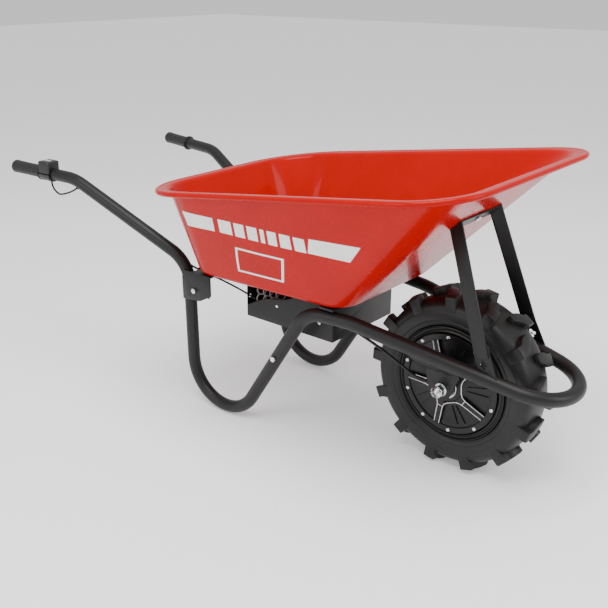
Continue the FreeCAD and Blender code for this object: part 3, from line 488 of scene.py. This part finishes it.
def lathe(name, profile, centre, along=ACROSS, sides=64, solid=True, crease=32):
    """A turned piece. Its profile is given as (radius, distance along) in millimetres."""
    radius, reach = profile[0]
    axis = Vector(along).normalized()
    here = Vector(centre) + axis * reach / 1000
    piece = begin(name, bpy.ops.mesh.primitive_circle_add, vertices=sides, radius=radius / 1000,
                  fill_type="NGON" if solid else "NOTHING", location=here,
                  rotation=axis.to_track_quat("Z", "Y").to_euler())
    for next_radius, next_reach in profile[1:]:
        here = Vector(centre) + axis * next_reach / 1000
        stretch(axis * (next_reach - reach) / 1000)
        factor = next_radius / radius
        bpy.ops.transform.resize(value=(factor, factor, factor), center_override=here)
        radius, reach = next_radius, next_reach
    return close(piece, crease)


def softened(node, width_mm, segments=2, crease=35):
    """A copy of a sheet or moulded CAD piece whose sharp edges are broken, so that they catch the light."""
    piece = copy_of(frame["nodes"][node], node + "_soft")
    piece.parent = None
    for key in [key for key in piece.keys() if key.startswith("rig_")]:
        del piece[key]
    reopen(piece)
    bpy.ops.mesh.select_all(action="SELECT")
    bpy.ops.mesh.remove_doubles(threshold=0.00001)
    bpy.ops.mesh.customdata_custom_splitnormals_clear()
    bpy.ops.mesh.dissolve_limited(angle_limit=radians(1.0))
    bpy.ops.object.mode_set(mode="OBJECT")
    apply_modifier(piece, "edges", "BEVEL", width=width_mm / 1000, segments=segments,
                   limit_method="ANGLE", angle_limit=radians(40), use_clamp_overlap=True)
    bpy.ops.object.shade_smooth_by_angle(angle=radians(crease))
    return piece


print("helpers ready")

# %% [markdown]
# ## Frame tubes
# The frame is three lengths of 32 mm tube. Each side has a handle that bends down into a leg, turns under
# as a foot and climbs forward again, and one front tube makes both bars and the loop ahead of the wheel. A
# tube like this is really made by bending, so it is modelled the same way: a ring is drawn out along each
# straight run and spun round each bend. That keeps the section round, which a subdivided box or a swept
# curve would need care for.

# %% Corners of the tubes
TUBE_R = 0.016
FOOT_TURN = spot(-689.5, 184.5, -246.08)
handle_end = spot(-1284, 286, 568)
handle_bend = spot(-1052, 258, 560)
leg_knee = spot(-701, 184.5, 382)
top_corner = spot(-320, 177, 344)
BAR_SLOPE = 0.187
BEND_X, BEND_Y, BEND_Z = -205, 159, 340
LOOP_TIP_X = 257
LOOP_BEND_R = 101.6
bar_bend = spot(BEND_X, BEND_Y, BEND_Z)
grip_axis = (handle_end - handle_bend).normalized()
front_run = (FOOT_TURN - top_corner).normalized()
seam = top_corner + front_run * 0.133


def bar_spot(x, y):
    """A point in the sloping plane that holds both bars and the front loop."""
    return spot(x, y, BEND_Z - BAR_SLOPE * (x - BEND_X))


def loop_corner():
    """The corner that the front loop's bend is tangent to, on the left."""
    slope = math.hypot(1.0, BAR_SLOPE)
    tip = (LOOP_TIP_X - BEND_X) * slope
    to_centre = math.atan2(-BEND_Y, tip - LOOP_BEND_R)
    heading_in = to_centre + math.asin(LOOP_BEND_R / math.hypot(tip - LOOP_BEND_R, BEND_Y))
    return bar_spot(LOOP_TIP_X, BEND_Y + tip * math.tan(heading_in))


print("loop corner", [round(number, 3) for number in loop_corner()])

# %% Handles, legs and feet
def handle_tube(name, shoulder_mm):
    """One rear tube, drawn on the left. Its full width ends at a shoulder, measured from the grip's end."""
    shoulder = handle_end - grip_axis * shoulder_mm / 1000
    corners = [shoulder, handle_bend, leg_knee, FOOT_TURN, seam]
    tube = bent_tube(name, corners, [0.120, 0.095, 0.110], TUBE_R, 32, 5)
    stub = lathe("grip_stub", [(16, 0), (15.4, 1.2), (12.0, 2.6), (11.1, 4.0), (11.1, shoulder_mm - 8)],
                 shoulder, grip_axis, 32)
    return joined([tube, stub], name)


left_leg = handle_tube("handle_leg_left_tube", 114)
right_drawn = handle_tube("handle_leg", 158)
right_leg = copy_of(right_drawn, "handle_leg_right_tube", OTHER_SIDE)
bpy.data.objects.remove(right_drawn)
hand_over(left_leg, "black_powder_coat", "chassis", "handle_leg_left")
hand_over(right_leg, "black_powder_coat", "chassis", "handle_leg_right")

# %% Bars and front loop
corner = loop_corner()
other = [Vector((point.x, -point.y, point.z)) for point in (corner, bar_bend, top_corner, seam)]
front = bent_tube("front_loop_tube", [seam, top_corner, bar_bend, corner] + other,
                  [0.078, 0.260, 0.1016, 0.1016, 0.260, 0.078], TUBE_R, 32, 5)
hand_over(front, "black_powder_coat", "chassis", "front_loop")

# %% [markdown]
# ## Pan
# The pan is pressed from one sheet of steel: a flat floor, four sloping walls whose corners grow rounder
# towards the top, a narrow flat lip and a rolled bead. Its sections are rounded outlines at different
# heights, so each outline is a plane whose corners are rounded by a vertex bevel, and neighbours are
# bridged. Bridging keeps the same number of points all the way up, so the walls stay clean, and the sheet's
# thickness comes last.

# %% Outlines of the pan
LIP_RISE = 0.139


def lip_height(x):
    """Height of the pan's edge, which rises towards the front, in millimetres."""
    return 687.7 + LIP_RISE * x


def add_outline(pan, ring, rear, front, rear_half, front_half, rear_r, front_r, height):
    """Adds one rounded outline to the pan and hides it. Sizes are in millimetres; height(x) gives z."""
    middle = spot((rear + front) / 2, 0, height((rear + front) / 2))
    bpy.ops.mesh.primitive_plane_add(size=1, location=middle)
    bpy.ops.transform.resize(value=((front - rear) / 1000, 2 * rear_half / 1000, 1), center_override=middle)
    pick(pan, "VERT", lambda vert: vert.co.x > middle.x and not vert.hide)
    bpy.ops.transform.resize(value=(1, front_half / rear_half, 1), center_override=spot(front, 0, 0))
    bpy.ops.transform.translate(value=(0, 0, (height(front) - height(rear)) / 2000))
    pick(pan, "VERT", lambda vert: vert.co.x < middle.x and not vert.hide)
    bpy.ops.transform.translate(value=(0, 0, (height(rear) - height(front)) / 2000))
    for radius, ahead in ((rear_r, False), (front_r, True)):
        pick(pan, "VERT", lambda vert: (vert.co.x > middle.x) == ahead and not vert.hide)
        bpy.ops.mesh.bevel(offset=radius / 1000, segments=14, affect="VERTICES", profile=0.5)
    pick(pan, "FACE", lambda face: not face.hide)
    mesh = bmesh.from_edit_mesh(pan.data)
    layer = mesh.verts.layers.int.get("ring") or mesh.verts.layers.int.new("ring")
    for vert in mesh.verts:
        if not vert.hide:
            vert[layer] = ring
    bmesh.update_edit_mesh(pan.data)
    bpy.ops.mesh.delete(type="ONLY_FACE")
    pick(pan, "VERT", lambda vert: not vert.hide)
    bpy.ops.mesh.hide(unselected=False)


def add_lip_outline(pan, ring, inset, lift):
    """An outline that follows the pan's edge, inset from the outside of its bead."""
    add_outline(pan, ring, -778 + inset, 141 - inset, 314 - inset, 343 - inset, 180 - inset, 140 - inset,
                lambda x: lip_height(x) + lift)


pan = begin("pressed_pan", bpy.ops.mesh.primitive_plane_add, size=0.01)
bpy.ops.mesh.delete(type="VERT")
add_outline(pan, 1, -664, -216, 207, 180, 54, 54, lambda x: 368)
add_lip_outline(pan, 2, 34, 0.0)
add_lip_outline(pan, 3, 13, 0.6)
bead_angles = (130, 105, 80, 50, 20, -10, -40, -70, -100, -130)
for number, angle in enumerate(bead_angles):
    add_lip_outline(pan, 4 + number, 6.5 - 6.5 * math.cos(radians(angle)), 6.5 * math.sin(radians(angle)) - 4.5)
bpy.ops.mesh.reveal(select=False)
print(len(bead_angles) + 3, "outlines")

# %% Walls, lip, bead and floor
RING_COUNT = len(bead_angles) + 3


def pick_rings(first, last):
    """Selects whole outlines by their number."""
    bpy.ops.mesh.select_mode(type="VERT")
    bpy.ops.mesh.select_all(action="DESELECT")
    mesh = bmesh.from_edit_mesh(pan.data)
    layer = mesh.verts.layers.int.get("ring")
    for vert in mesh.verts:
        vert.select_set(first <= vert[layer] <= last)
    mesh.select_flush_mode()
    bmesh.update_edit_mesh(pan.data)


for number in range(1, RING_COUNT):
    pick_rings(number, number + 1)
    bpy.ops.mesh.select_mode(type="EDGE")
    bpy.ops.mesh.bridge_edge_loops()
pick_rings(1, 1)
bpy.ops.mesh.edge_face_add()
pick_rings(2, 2)
bpy.ops.mesh.bevel(offset=0.009, segments=4, affect="EDGES")
pick_rings(1, 1)
bpy.ops.mesh.bevel(offset=0.021, segments=6, affect="EDGES")
close(pan, 60)
apply_modifier(pan, "sheet", "SOLIDIFY", thickness=0.0015, offset=-1)
bpy.ops.object.shade_smooth_by_angle(angle=radians(60))
hand_over(pan, "red_enamel", "chassis", "tray")

# %% [markdown]
# ## Stickers on the pan
# Each side of the pan carries white vinyl: a bar at each end that tapers away, a row of slanted blocks
# between them, and a blank framed panel below. The vinyl is cut as flat pieces beside the wall, divided so
# that it can bend, and then shrunk onto the wall, a third of a millimetre proud, which is how a real
# sticker lies.


# %% Cutting and sticking vinyl
def vinyl(name, corners, cuts=7):
    """A flat piece with four corners, given in millimetres as (x, z) on the right-hand side of the pan."""
    piece = begin(name, bpy.ops.mesh.primitive_plane_add, size=1)
    targets = [spot(x, -300, z) for x, z in corners]
    mesh = bmesh.from_edit_mesh(piece.data)
    mesh.faces.ensure_lookup_table()
    for vert, target in zip(mesh.faces[0].verts, targets):
        vert.co = target
    bmesh.update_edit_mesh(piece.data)
    bpy.ops.mesh.subdivide(number_cuts=cuts)
    bpy.ops.object.mode_set(mode="OBJECT")
    return piece


def slanted_block(name, left, right, low, high):
    """One upright block of a slanted row."""
    lean = 0.12 * (high - low)
    return vinyl(name, [(left, low), (right, low), (right + lean, high), (left + lean, high)], 3)


pieces = [vinyl("stripe_rear", [(-625, 510), (-533, 513), (-529, 548), (-631, 547)]),
          vinyl("stripe_front", [(-260, 515), (-152, 516), (-115, 559), (-246, 553)])]
block_left = -516
for number, width in enumerate((40, 30, 30, 12, 26, 30, 30)):
    pieces.append(slanted_block("block_%d" % number, block_left, block_left + width, 514, 549))
    block_left += width + 9
frame_corners = [(-496, 414), (-360, 414), (-336, 483), (-480, 483)]
inner = [(-489, 419), (-365, 419), (-345, 478), (-475, 478)]
for number in range(4):
    after = (number + 1) % 4
    pieces.append(vinyl("panel_edge_%d" % number,
                        [frame_corners[number], frame_corners[after], inner[after], inner[number]], 7))
stickers = joined(pieces, "stickers_right")
left_stickers = copy_of(stickers, "stickers_left", OTHER_SIDE)
for piece in (stickers, left_stickers):
    apply_modifier(piece, "stick", "SHRINKWRAP", target=pan, wrap_method="PROJECT", use_project_y=True,
                   use_positive_direction=True, use_negative_direction=True, offset=0.0004)
    bpy.ops.object.shade_smooth()
    hand_over(piece, "red_enamel", "chassis", finish=white_vinyl)

# %% [markdown]
# ## Tyre
# The tyre is a farm tread: a round carcass with thirteen tall bars on each side. The bars of one side sit
# in the gaps of the other, run back from the middle and end as square steps on the shoulder. The carcass is
# turned. One bar is drawn out of a plane through four sections, its edges are rounded, and it is copied
# round.

# %% Carcass
carcass = [(129, 28), (129, 39), (136.6, 43.5), (137.4, 48), (139.5, 49.6), (142, 50.4), (144, 52.0), (147, 52.2),
           (149, 51.2), (151, 52.6), (156, 53.6), (161, 54.2), (166, 54.4), (171, 54.2), (172, 53.4), (175, 53.2),
           (179, 52.4), (184, 50.2), (188.5, 46.4), (191.6, 41.5), (193.6, 36.0), (195.4, 27.0), (196.8, 14.0),
           (197.2, 0)]
carcass_ring = carcass + [(radius, -across) for radius, across in reversed(carcass[:-1])] + [carcass[0]]
tyre = lathe("tyre_carcass", carcass_ring, AXLE, ACROSS, 96, solid=False, crease=45)
print(len(carcass_ring), "points round the carcass")

# %% One bar of the tread
TREAD_BARS = 13
# (across, width, middle, top radius, bottom radius) of each section of the left-hand bar, from the middle out
BAR_SECTIONS = ((-5, 13.5, -17, 209.8, 188), (9, 25.0, -13, 210.4, 188), (17, 27.0, -9, 210.2, 187),
                (22, 33.0, -5, 210.0, 186), (31, 31.0, -1, 209.6, 183), (36, 26.0, 2, 209.4, 180),
                (47, 27.0, 4, 208.6, 176), (52.6, 27.0, 4, 206.6, 171), (54.2, 25.0, 4, 203.6, 169))


def tread_bar():
    """A bar that starts at the middle of the tread and steps down over the left shoulder."""
    across, width, ahead, top, bottom = BAR_SECTIONS[0]
    middle = AXLE + Vector((ahead, across, (top + bottom) / 2)) / 1000
    bar = begin("tread_bar", bpy.ops.mesh.primitive_plane_add, size=1, location=middle,
                rotation=(radians(90), 0, 0))
    bpy.ops.transform.resize(value=(width / 1000, 1, (top - bottom) / 1000), center_override=middle)
    for across, new_width, ahead, new_top, new_bottom in BAR_SECTIONS[1:]:
        new_middle = AXLE + Vector((ahead, across, (new_top + new_bottom) / 2)) / 1000
        stretch(new_middle - middle)
        bpy.ops.transform.resize(value=(new_width / width, 1, (new_top - new_bottom) / (top - bottom)),
                                 center_override=new_middle)
        middle, width, top, bottom = new_middle, new_width, new_top, new_bottom
    bpy.ops.mesh.select_all(action="SELECT")
    bpy.ops.mesh.normals_make_consistent(inside=False)
    bpy.ops.object.mode_set(mode="OBJECT")
    apply_modifier(bar, "edges", "BEVEL", width=0.0016, segments=2, limit_method="ANGLE", angle_limit=radians(30))
    return bar


bar = tread_bar()
bars = []
for number in range(TREAD_BARS):
    turn = 90 - 10.5 - number * 360 / TREAD_BARS
    bars.append(copy_of(bar, "bar_right", about_axle(turn) @ OTHER_SIDE))
    bars.append(copy_of(bar, "bar_left", about_axle(turn - 180 / TREAD_BARS)))
bpy.data.objects.remove(bar)
tyre = joined([tyre] + bars, "tyre_carcass")
bpy.ops.object.shade_smooth_by_angle(angle=radians(42))
hand_over(tyre, "tyre_rubber", "wheel", "tyre")

# %% [markdown]
# ## Rim and motor covers
# The rim is spun from thick sheet: a rolled flange holds the bead, and behind it the wall steps in to the
# drum of the motor. Each motor cover is a casting. Its outer ring carries ten screws, five spokes climb to
# the hub, and the machined edges of the windows between the spokes show as thin bright lines that curl
# round the hub.

# %% Rim
rim_half = [(106, 42), (120, 42), (121.5, 47), (123, 49.5), (126, 48.5), (128, 46.5), (130.5, 47), (132, 50.5),
            (133.6, 52.0), (135.2, 51.4), (136, 49.4), (136, 44), (128, 40), (122, 28), (118, 0)]
rim_ring = rim_half + [(radius, -across) for radius, across in reversed(rim_half[:-1])] + [rim_half[0]]
rim = lathe("spun_rim", rim_ring, AXLE, ACROSS, 96, solid=False, crease=38)
hand_over(rim, "motor_black", "wheel", "rim")

# %% Cover, spokes and bright window edges
SPOKE_AT = -31.5


COVER_FACE = 53.0


def cover_spot(radius, degrees, lift=0.0):
    """A point on the left cover's sloping face; degrees are counted up from the front of the wheel."""
    across = COVER_FACE + (102 - radius) * 0.19 + lift
    angle = radians(degrees)
    return AXLE + Vector((radius * math.cos(angle), across, radius * math.sin(angle))) / 1000


def flat_bar(name, start, end, width_start, width_end, depth):
    """A raised rib from one point of the cover to another, narrower or wider at its end."""
    along = (end - start).normalized()
    bar = begin(name, bpy.ops.mesh.primitive_plane_add, size=1, location=start)
    mesh = bmesh.from_edit_mesh(bar.data)
    sideways = along.cross(ACROSS).normalized()
    outwards = sideways.cross(along).normalized()
    mesh.faces.ensure_lookup_table()
    for vert, (side, out) in zip(mesh.faces[0].verts, ((-1, -1), (1, -1), (1, 1), (-1, 1))):
        vert.co = start + (sideways * side * width_start + outwards * out * depth) / 2000
    bmesh.update_edit_mesh(bar.data)
    bpy.ops.mesh.select_all(action="SELECT")
    stretch(end - start)
    factor = width_end / width_start
    bpy.ops.transform.resize(value=(factor, 1, factor), center_override=end)
    close(bar, 35)
    apply_modifier(bar, "edges", "BEVEL", width=0.0009, segments=2, limit_method="ANGLE", angle_limit=radians(40))
    return bar


cover_profile = [(20, 41), (100, 41), (100, 42), (119, 42), (119, 52.2), (118.2, 53), (107, 53), (105.4, 52.2),
                 (104.2, 49), (101, 47.4), (96, 47.6), (70, 51.6), (50, 55.4), (42, 59.6), (38, 62.6), (35, 63.4),
                 (29, 64.2), (20, 64.4), (20, 41)]
cover = lathe("motor_cover_cast", cover_profile, AXLE, ACROSS, 96, solid=False, crease=30)
ribs = []
bright = []
for number in range(5):
    at = SPOKE_AT + number * 72
    ribs.append(flat_bar("spoke", cover_spot(38, at, -4.5), cover_spot(104, at, -3.6), 19, 12.5, 8))
    for offset in (30, 42):
        ribs.append(flat_bar("window_rib", cover_spot(50, at + offset, -6.6), cover_spot(97, at + offset, -5.0),
                             2.2, 1.6, 3.0))
    edge = [cover_spot(105, at + 3.4, 0.2), cover_spot(44, at + 9, 0.2), cover_spot(44, at + 63, 0.2),
            cover_spot(105, at + 68.6, 0.2)]
    bright.append(bent_tube("window_edge", edge, [0.025, 0.025], 0.0013, 8, 9))
    bright.append(bent_tube("root_edge", [cover_spot(55, at - 8.5, 0.2), cover_spot(52.5, at, 0.2),
                                          cover_spot(55, at + 8.5, 0.2)], [0.03], 0.0010, 8, 9))
cover = joined([cover] + ribs, "motor_cover_cast")
bpy.ops.object.shade_smooth_by_angle(angle=radians(32))
edges = joined(bright, "window_edges")
for side, sign in (("left", 1), ("right", -1)):
    matrix = Matrix.Identity(4) if sign > 0 else OTHER_SIDE
    hand_over(copy_of(cover, "cast_cover_" + side, matrix), "motor_black", "wheel", "motor_cover_" + side)
    hand_over(copy_of(edges, "bright_edges_" + side, matrix), "machined_alloy", "wheel")
bpy.data.objects.remove(cover)
bpy.data.objects.remove(edges)

# %% Screws round the cover
screw_at = AXLE + Vector((112.6, COVER_FACE, 0)) / 1000
screw = lathe("cover_screw", [(2.5, -12), (2.5, 0), (4.3, 0), (4.5, 0.5), (4.4, 1.6), (3.6, 2.7), (2.4, 3.2),
                              (1.9, 3.2), (1.7, 1.3), (0.4, 1.2)], screw_at, ACROSS, 20, crease=30)
for side, matrix in (("left", Matrix.Identity(4)), ("right", OTHER_SIDE)):
    copies = [copy_of(screw, "screw", about_axle(-129.5 - number * 36) @ matrix) for number in range(10)]
    hand_over(joined(copies, "dome_screws_" + side), "zinc_plated", "wheel", "cover_screws_" + side)
bpy.data.objects.remove(screw)

# %% [markdown]
# ## Axle, nuts and hub disc
# The axle stands still while the wheel turns on it. On each side a bright disc closes the bearing, the
# dropout plate slips over the axle, and a washer and a large nut clamp it. A nut is a turned blank milled
# to six flats, so here a six-sided prism has its corners broken by a bevel, and it gets a rim where its
# face was turned.


# %% Nuts, washers, discs
def hex_piece(name, flats, height, centre, along, hole=0.0, rise=0.0):
    """A nut or bolt head standing on a point, with its corners turned off and a hole or a raised end."""
    axis = Vector(along).normalized()
    facing = axis.to_track_quat("Z", "Y").to_euler()
    piece = begin(name, bpy.ops.mesh.primitive_cylinder_add, vertices=6, radius=flats / 1000 / math.sqrt(3),
                  depth=height / 1000, location=Vector(centre) + axis * height / 2000, rotation=facing)
    top = Vector(centre) + axis * height / 1000
    pick(piece, "FACE", lambda face: face.normal.dot(axis) > 0.9)
    bpy.ops.mesh.bevel(offset=height * 0.08 / 1000, segments=1, affect="EDGES")
    pick(piece, "FACE", lambda face: face.normal.dot(axis) > 0.9)
    bpy.ops.mesh.inset(thickness=flats * 0.05 / 1000)
    if hole:
        bpy.ops.mesh.inset(thickness=(flats * 0.45 - hole) / 1000)
        stretch(axis * -height * 0.6 / 1000)
    elif rise:
        bpy.ops.mesh.inset(thickness=flats * 0.1 / 1000)
        stretch(axis * rise / 1000)
    close(piece, 25)
    return piece


washers = []
nuts = []
discs = []
WASHER = [(8.1, 85.5), (14.4, 85.5), (15, 85.9), (15, 87.3), (14.4, 87.8), (12.6, 87.8), (12.4, 88), (8.1, 88),
          (8.1, 85.5)]
DISC = [(10.7, 64.2), (27.6, 64.2), (28, 64.6), (28, 67.2), (27.2, 68), (24.6, 68), (23.8, 67.3), (16.4, 67.3),
        (15.8, 68), (11.2, 68), (10.7, 67.6), (10.7, 64.2)]
for sign in (1, -1):
    out = ACROSS * sign
    washers.append(lathe("washer", WASHER, AXLE, out, 48, solid=False, crease=30))
    nuts.append(hex_piece("nut", 24, 15, AXLE + out * 0.088, out, hole=8.3))
    discs.append(lathe("disc", DISC, AXLE, out, 64, solid=False, crease=30))
hand_over(joined(washers, "turned_washers"), "zinc_plated", "chassis", "axle_washers")
hand_over(joined(nuts, "flanged_nuts"), "zinc_plated", "chassis", "axle_nuts")
hand_over(joined(discs, "turned_discs"), "machined_alloy", "wheel", "hub_discs")

# %% Axle ends and valve
axle = softened("axle", 0.5)
reopen(axle)
pick(axle, "FACE", lambda face: abs(face.normal.y) > 0.9 and abs(face.calc_center_median().y) > 0.108)
bpy.ops.mesh.inset(thickness=0.0026)
bpy.ops.mesh.extrude_region_shrink_fatten(TRANSFORM_OT_shrink_fatten={"value": -0.005})
close(axle, 30)
hand_over(axle, "machined_alloy", "chassis", "axle")
# A black disc lies on the floor of each axle-end recess as painted shade, so that the hole reads dark.
HOLE_SHADE_PROFILE = [(0.4, 104.4), (2.5, 104.6), (5.0, 104.4), (5.3, 103.8), (5.3, 103.2)]
hole_shade_discs = [lathe("hole_shade_disc", HOLE_SHADE_PROFILE, AXLE, ACROSS * sign, 24) for sign in (1, -1)]
hand_over(joined(hole_shade_discs, "axle_hole_painted_shade"), "cable_sheath", "chassis")
valve_turn = radians(205)
valve_foot = AXLE + Vector((129 * math.cos(valve_turn), 46, 129 * math.sin(valve_turn))) / 1000
valve = lathe("valve", [(3.4, 0), (3.4, 8), (2.6, 9), (2.6, 12), (3.4, 12.4), (3.4, 17.4), (2.8, 18), (0.4, 18)],
              valve_foot, ACROSS, 20, crease=30)
hand_over(valve, "zinc_plated", "wheel", "valve_stem")

# %% [markdown]
# ## Brackets, straps and the strut
# These are cut and folded from flat steel. The CAD holds their true outlines and holes, so each one is
# copied, its triangles are merged back into whole faces, and its sharp edges are broken by a bevel as a
# punch or a file would. Remodelling them by hand would only repeat the same outline with less accuracy.

# %% Flat steel pieces
for node, width in (("tray_strut", 0.9), ("strut_bracket_left", 0.5), ("strut_bracket_right", 0.5),
                    ("clamp_bracket_left", 0.9), ("clamp_bracket_right", 0.9), ("cross_strap", 0.9),
                    ("dropout_left", 1.0), ("dropout_right", 1.0)):
    hand_over(softened(node, width), "black_powder_coat", "chassis", node)

# %% Bolts and nuts
for node, width in (("joint_bolts", 0.5), ("joint_nuts", 0.5), ("clamp_bolts", 0.5), ("clamp_nuts", 0.5),
                    ("tray_bolts_rear", 0.4), ("tray_bolts_front", 0.4), ("tray_nuts_rear", 0.5),
                    ("tray_nuts_front", 0.5), ("strut_bolt", 0.5), ("strut_nut", 0.5)):
    hand_over(softened(node, width, crease=30), "zinc_plated", "chassis", node)

# %% [markdown]
# ## Battery box
# The box is folded from sheet and hangs under the pan. Its right side is cut away in an arch, and the cut
# edge is rolled over a wire, so it reads as a light line. Behind it the spare wire is gathered in
# corrugated sleeves, bent into loops. Each sleeve is a ring whose every second rib is drawn in, which is
# how such a sleeve is blown.

# %% Box, rolled edge and rivets
hand_over(softened("battery_box", 1.2, segments=3), "black_powder_coat", "chassis", "battery_box")
arch = [spot(-557, -121.4, 284), spot(-499, -121.4, 314.5), spot(-431, -121.4, 326.5), spot(-350, -121.4, 366)]
hand_over(bent_tube("rolled_edge", arch, [0.12, 0.12], 0.0019, 10, 6), "black_powder_coat", "chassis")
rivets = []
for x, z in ((-459, 305), (-326, 296)):
    for sign in (1, -1):
        rivets.append(lathe("rivet", [(2, -1), (3.9, -1), (4.3, 0), (4.2, 0.7), (3.4, 1.7), (2, 2.2), (0.3, 2.4)],
                            spot(x, sign * 122, z), ACROSS * sign, 24, crease=40))
hand_over(joined(rivets, "domed_rivets"), "zinc_plated", "chassis", "box_rivets")

# %% Corrugated loops of wire
loops = []
RIBS = 40
for start_y, height, shift in ((-92, 66, 0), (-104, 48, 9)):
    for number in range(4):
        centre = spot(-535 + shift + number * 21, start_y, 256 + height)
        facing = Vector((1.0, -0.5, 0.35)).to_track_quat("Z", "Y").to_euler()
        loop = begin("loop", bpy.ops.mesh.primitive_torus_add, major_segments=RIBS * 2, minor_segments=10,
                     major_radius=0.012, minor_radius=0.0021, location=centre, rotation=facing)
        pick(loop, "VERT", lambda vert: (vert.index // 10) % 2 == 0)
        bpy.ops.transform.shrink_fatten(value=-0.00045)
        loops.append(close(loop, 20))
hand_over(joined(loops, "corrugated_loops"), "loom_sleeve", "chassis", "wiring_loom")
for node in ("cable_connectors", "battery_pack", "motor_controller"):
    hand_over(softened(node, 0.8), slots[node], "chassis", node)

# %% [markdown]
# ## Cables
# The control cable leaves the throttle, dives into the right-hand handle tube and comes out again at the
# leg, and the motor cable runs from the battery box to the axle. Both are drawn as round bars with bends as
# wide as their runs allow, which is how a stiff cable hangs. A soft rubber collar keeps each from rubbing
# where it enters.


# %% Cables and grommets
def easy_bends(points):
    """The widest bends that leave a little straight between one and the next."""
    bends = []
    for before, corner, after in zip(points, points[1:], points[2:]):
        turn = (corner - before).angle(after - corner)
        bends.append(0.45 * min((corner - before).length, (after - corner).length) / math.tan(turn / 2))
    return bends


control_route = [spot(x, -y, z) for x, y, z in (
    (-1146, 269.5, 549), (-1141, 269, 524), (-1118, 267.5, 508), (-1086, 265.5, 516), (-1056, 263, 528),
    (-1032, 256, 546), (-985, 244, 530), (-890, 224, 480), (-790, 203, 428), (-738, 191.5, 397),
    (-706, 181, 376), (-672, 160, 356), (-632, 143, 342), (-595, 128, 326), (-567, 116, 312), (-543, 106, 298))]
motor_route = [spot(*point) for point in (
    (-326, -74, 291), (-294, -75, 288), (-252, -76, 280), (-196, -77, 264), (-132, -76, 237), (-82.5, -75, 214),
    (-42.5, -74, 211), (-14.5, -74, 210.4))]
for name, route, radius, node in (("control_wire", control_route, 0.0025, "control_cable"),
                                  ("motor_wire", motor_route, 0.0035, "motor_cable")):
    hand_over(bent_tube(name, route, easy_bends(route), radius, 16, 4), "cable_sheath", "chassis", node)
collars = []
for route, first, radius in ((control_route, 4, 4.4), (control_route, 10, 4.4)):
    along = (route[first + 1] - route[first]).normalized()
    collars.append(lathe("collar", [(radius, -3), (radius + 2.2, -2.4), (radius + 2.6, 0), (radius + 2.2, 2.4),
                                    (radius, 3), (2.7, 3.4), (2.7, -3), (radius, -3)],
                         route[first] * 0.35 + route[first + 1] * 0.65, along, 28, solid=False, crease=40))
hand_over(joined(collars, "tube_collars"), "cable_sheath", "chassis")
hand_over(softened("cable_grommet", 0.4), "cable_sheath", "chassis", "cable_grommet")

# %% [markdown]
# ## Grips and throttle
# Both grips are moulded rubber with a rounded end, a flange at the inner end and a pattern of crossed
# grooves. They are turned in one pass, and the grooves are too shallow to model, so they are bumps in the
# rubber. The throttle housing is a split plastic block: its edges are softened, and its window shows a row
# of charge bars.


# %% Grips
def patterned_rubber():
    """Grip rubber with leaf-shaped cushions between crossed grooves."""
    finish = Finish("grip_pattern", (0.008,) * 3, Specular_IOR_Level=0.35)
    parts = finish.add("ShaderNodeSeparateXYZ", {}, {"Vector": finish.place()})
    across = finish.add("ShaderNodeSeparateXYZ", {}, {"Vector": finish.place()}, 2)
    rising = (parts * 560 + across * 330).sine()
    falling = (parts * 560 - across * 330).sine()
    pores = finish.noise(0.8, 2.0)
    finish.set("Base Color", finish.blend(pores, (0.006, 0.006, 0.006, 1), (0.012, 0.012, 0.012, 1)))
    finish.set("Roughness", pores * 0.15 + 0.42)
    finish.bump(rising * falling + pores * 0.1, 0.9, 0.8)
    return finish.material


grip_finish = patterned_rubber()
GRIP = [(6, 0), (13.5, 0), (16.4, 1.2), (17.6, 3.6), (17.8, 8), (17.2, 14), (17.0, 56), (17.2, 98), (17.6, 106),
        (18.2, 107.6), (21.0, 108.2), (22, 109.2), (22, 111.2), (21.2, 112), (11.4, 112)]
end_right = Vector((handle_end.x, -handle_end.y, handle_end.z))
axis_right = Vector((grip_axis.x, -grip_axis.y, grip_axis.z))
for name, end, axis, body, node in (("rubber_grip", handle_end, grip_axis, "chassis", "grip_left"),
                                    ("twist_grip", end_right, axis_right, "throttle", "throttle_grip")):
    grip = lathe(name, GRIP, end, axis * -1, 64, crease=50)
    hand_over(grip, "grip_rubber", body, node, finish=grip_finish)

# %% Housing, clamp, window and keys
for node, width, body in (("throttle_housing", 1.6, "chassis"), ("throttle_clamp", 1.0, "chassis"),
                          ("power_button", 0.9, "power_key"), ("direction_button", 0.9, "direction_key"),
                          ("display_lens", 0.5, "chassis")):
    hand_over(softened(node, width, segments=3), slots[node], body, node)
side_right = axis_right.cross(UP).normalized()
top_right = side_right.cross(axis_right).normalized()
charge_bars = []
for number in range(5):
    at = end_right - axis_right * (0.1235 + number * 0.0044) + top_right * 0.03465
    turned = Matrix((axis_right, side_right, top_right)).transposed().to_euler()
    bar = begin("charge_bar", bpy.ops.mesh.primitive_plane_add, size=1, location=at, rotation=turned)
    bpy.ops.transform.resize(value=(0.0028, 0.0028, 0.0028), center_override=at)
    stretch(top_right * 0.0002)
    charge_bars.append(close(bar, 30))
lit = Finish("lit_segments", (0.5, 0.55, 0.52), Roughness=0.4, Emission_Strength=1.2)
lit.set("Emission Color", lit.blend(lit.noise(2.0), (0.55, 0.7, 0.65, 1), (0.8, 0.95, 0.9, 1)))
hand_over(joined(charge_bars, "charge_bars"), "display_glass", "chassis", finish=lit.material)

# %% [markdown]
# ## Size and finish
# The last cell prints the size of the CAD model as it was loaded, before modelling.

# %% Size
print("before", cad_size)
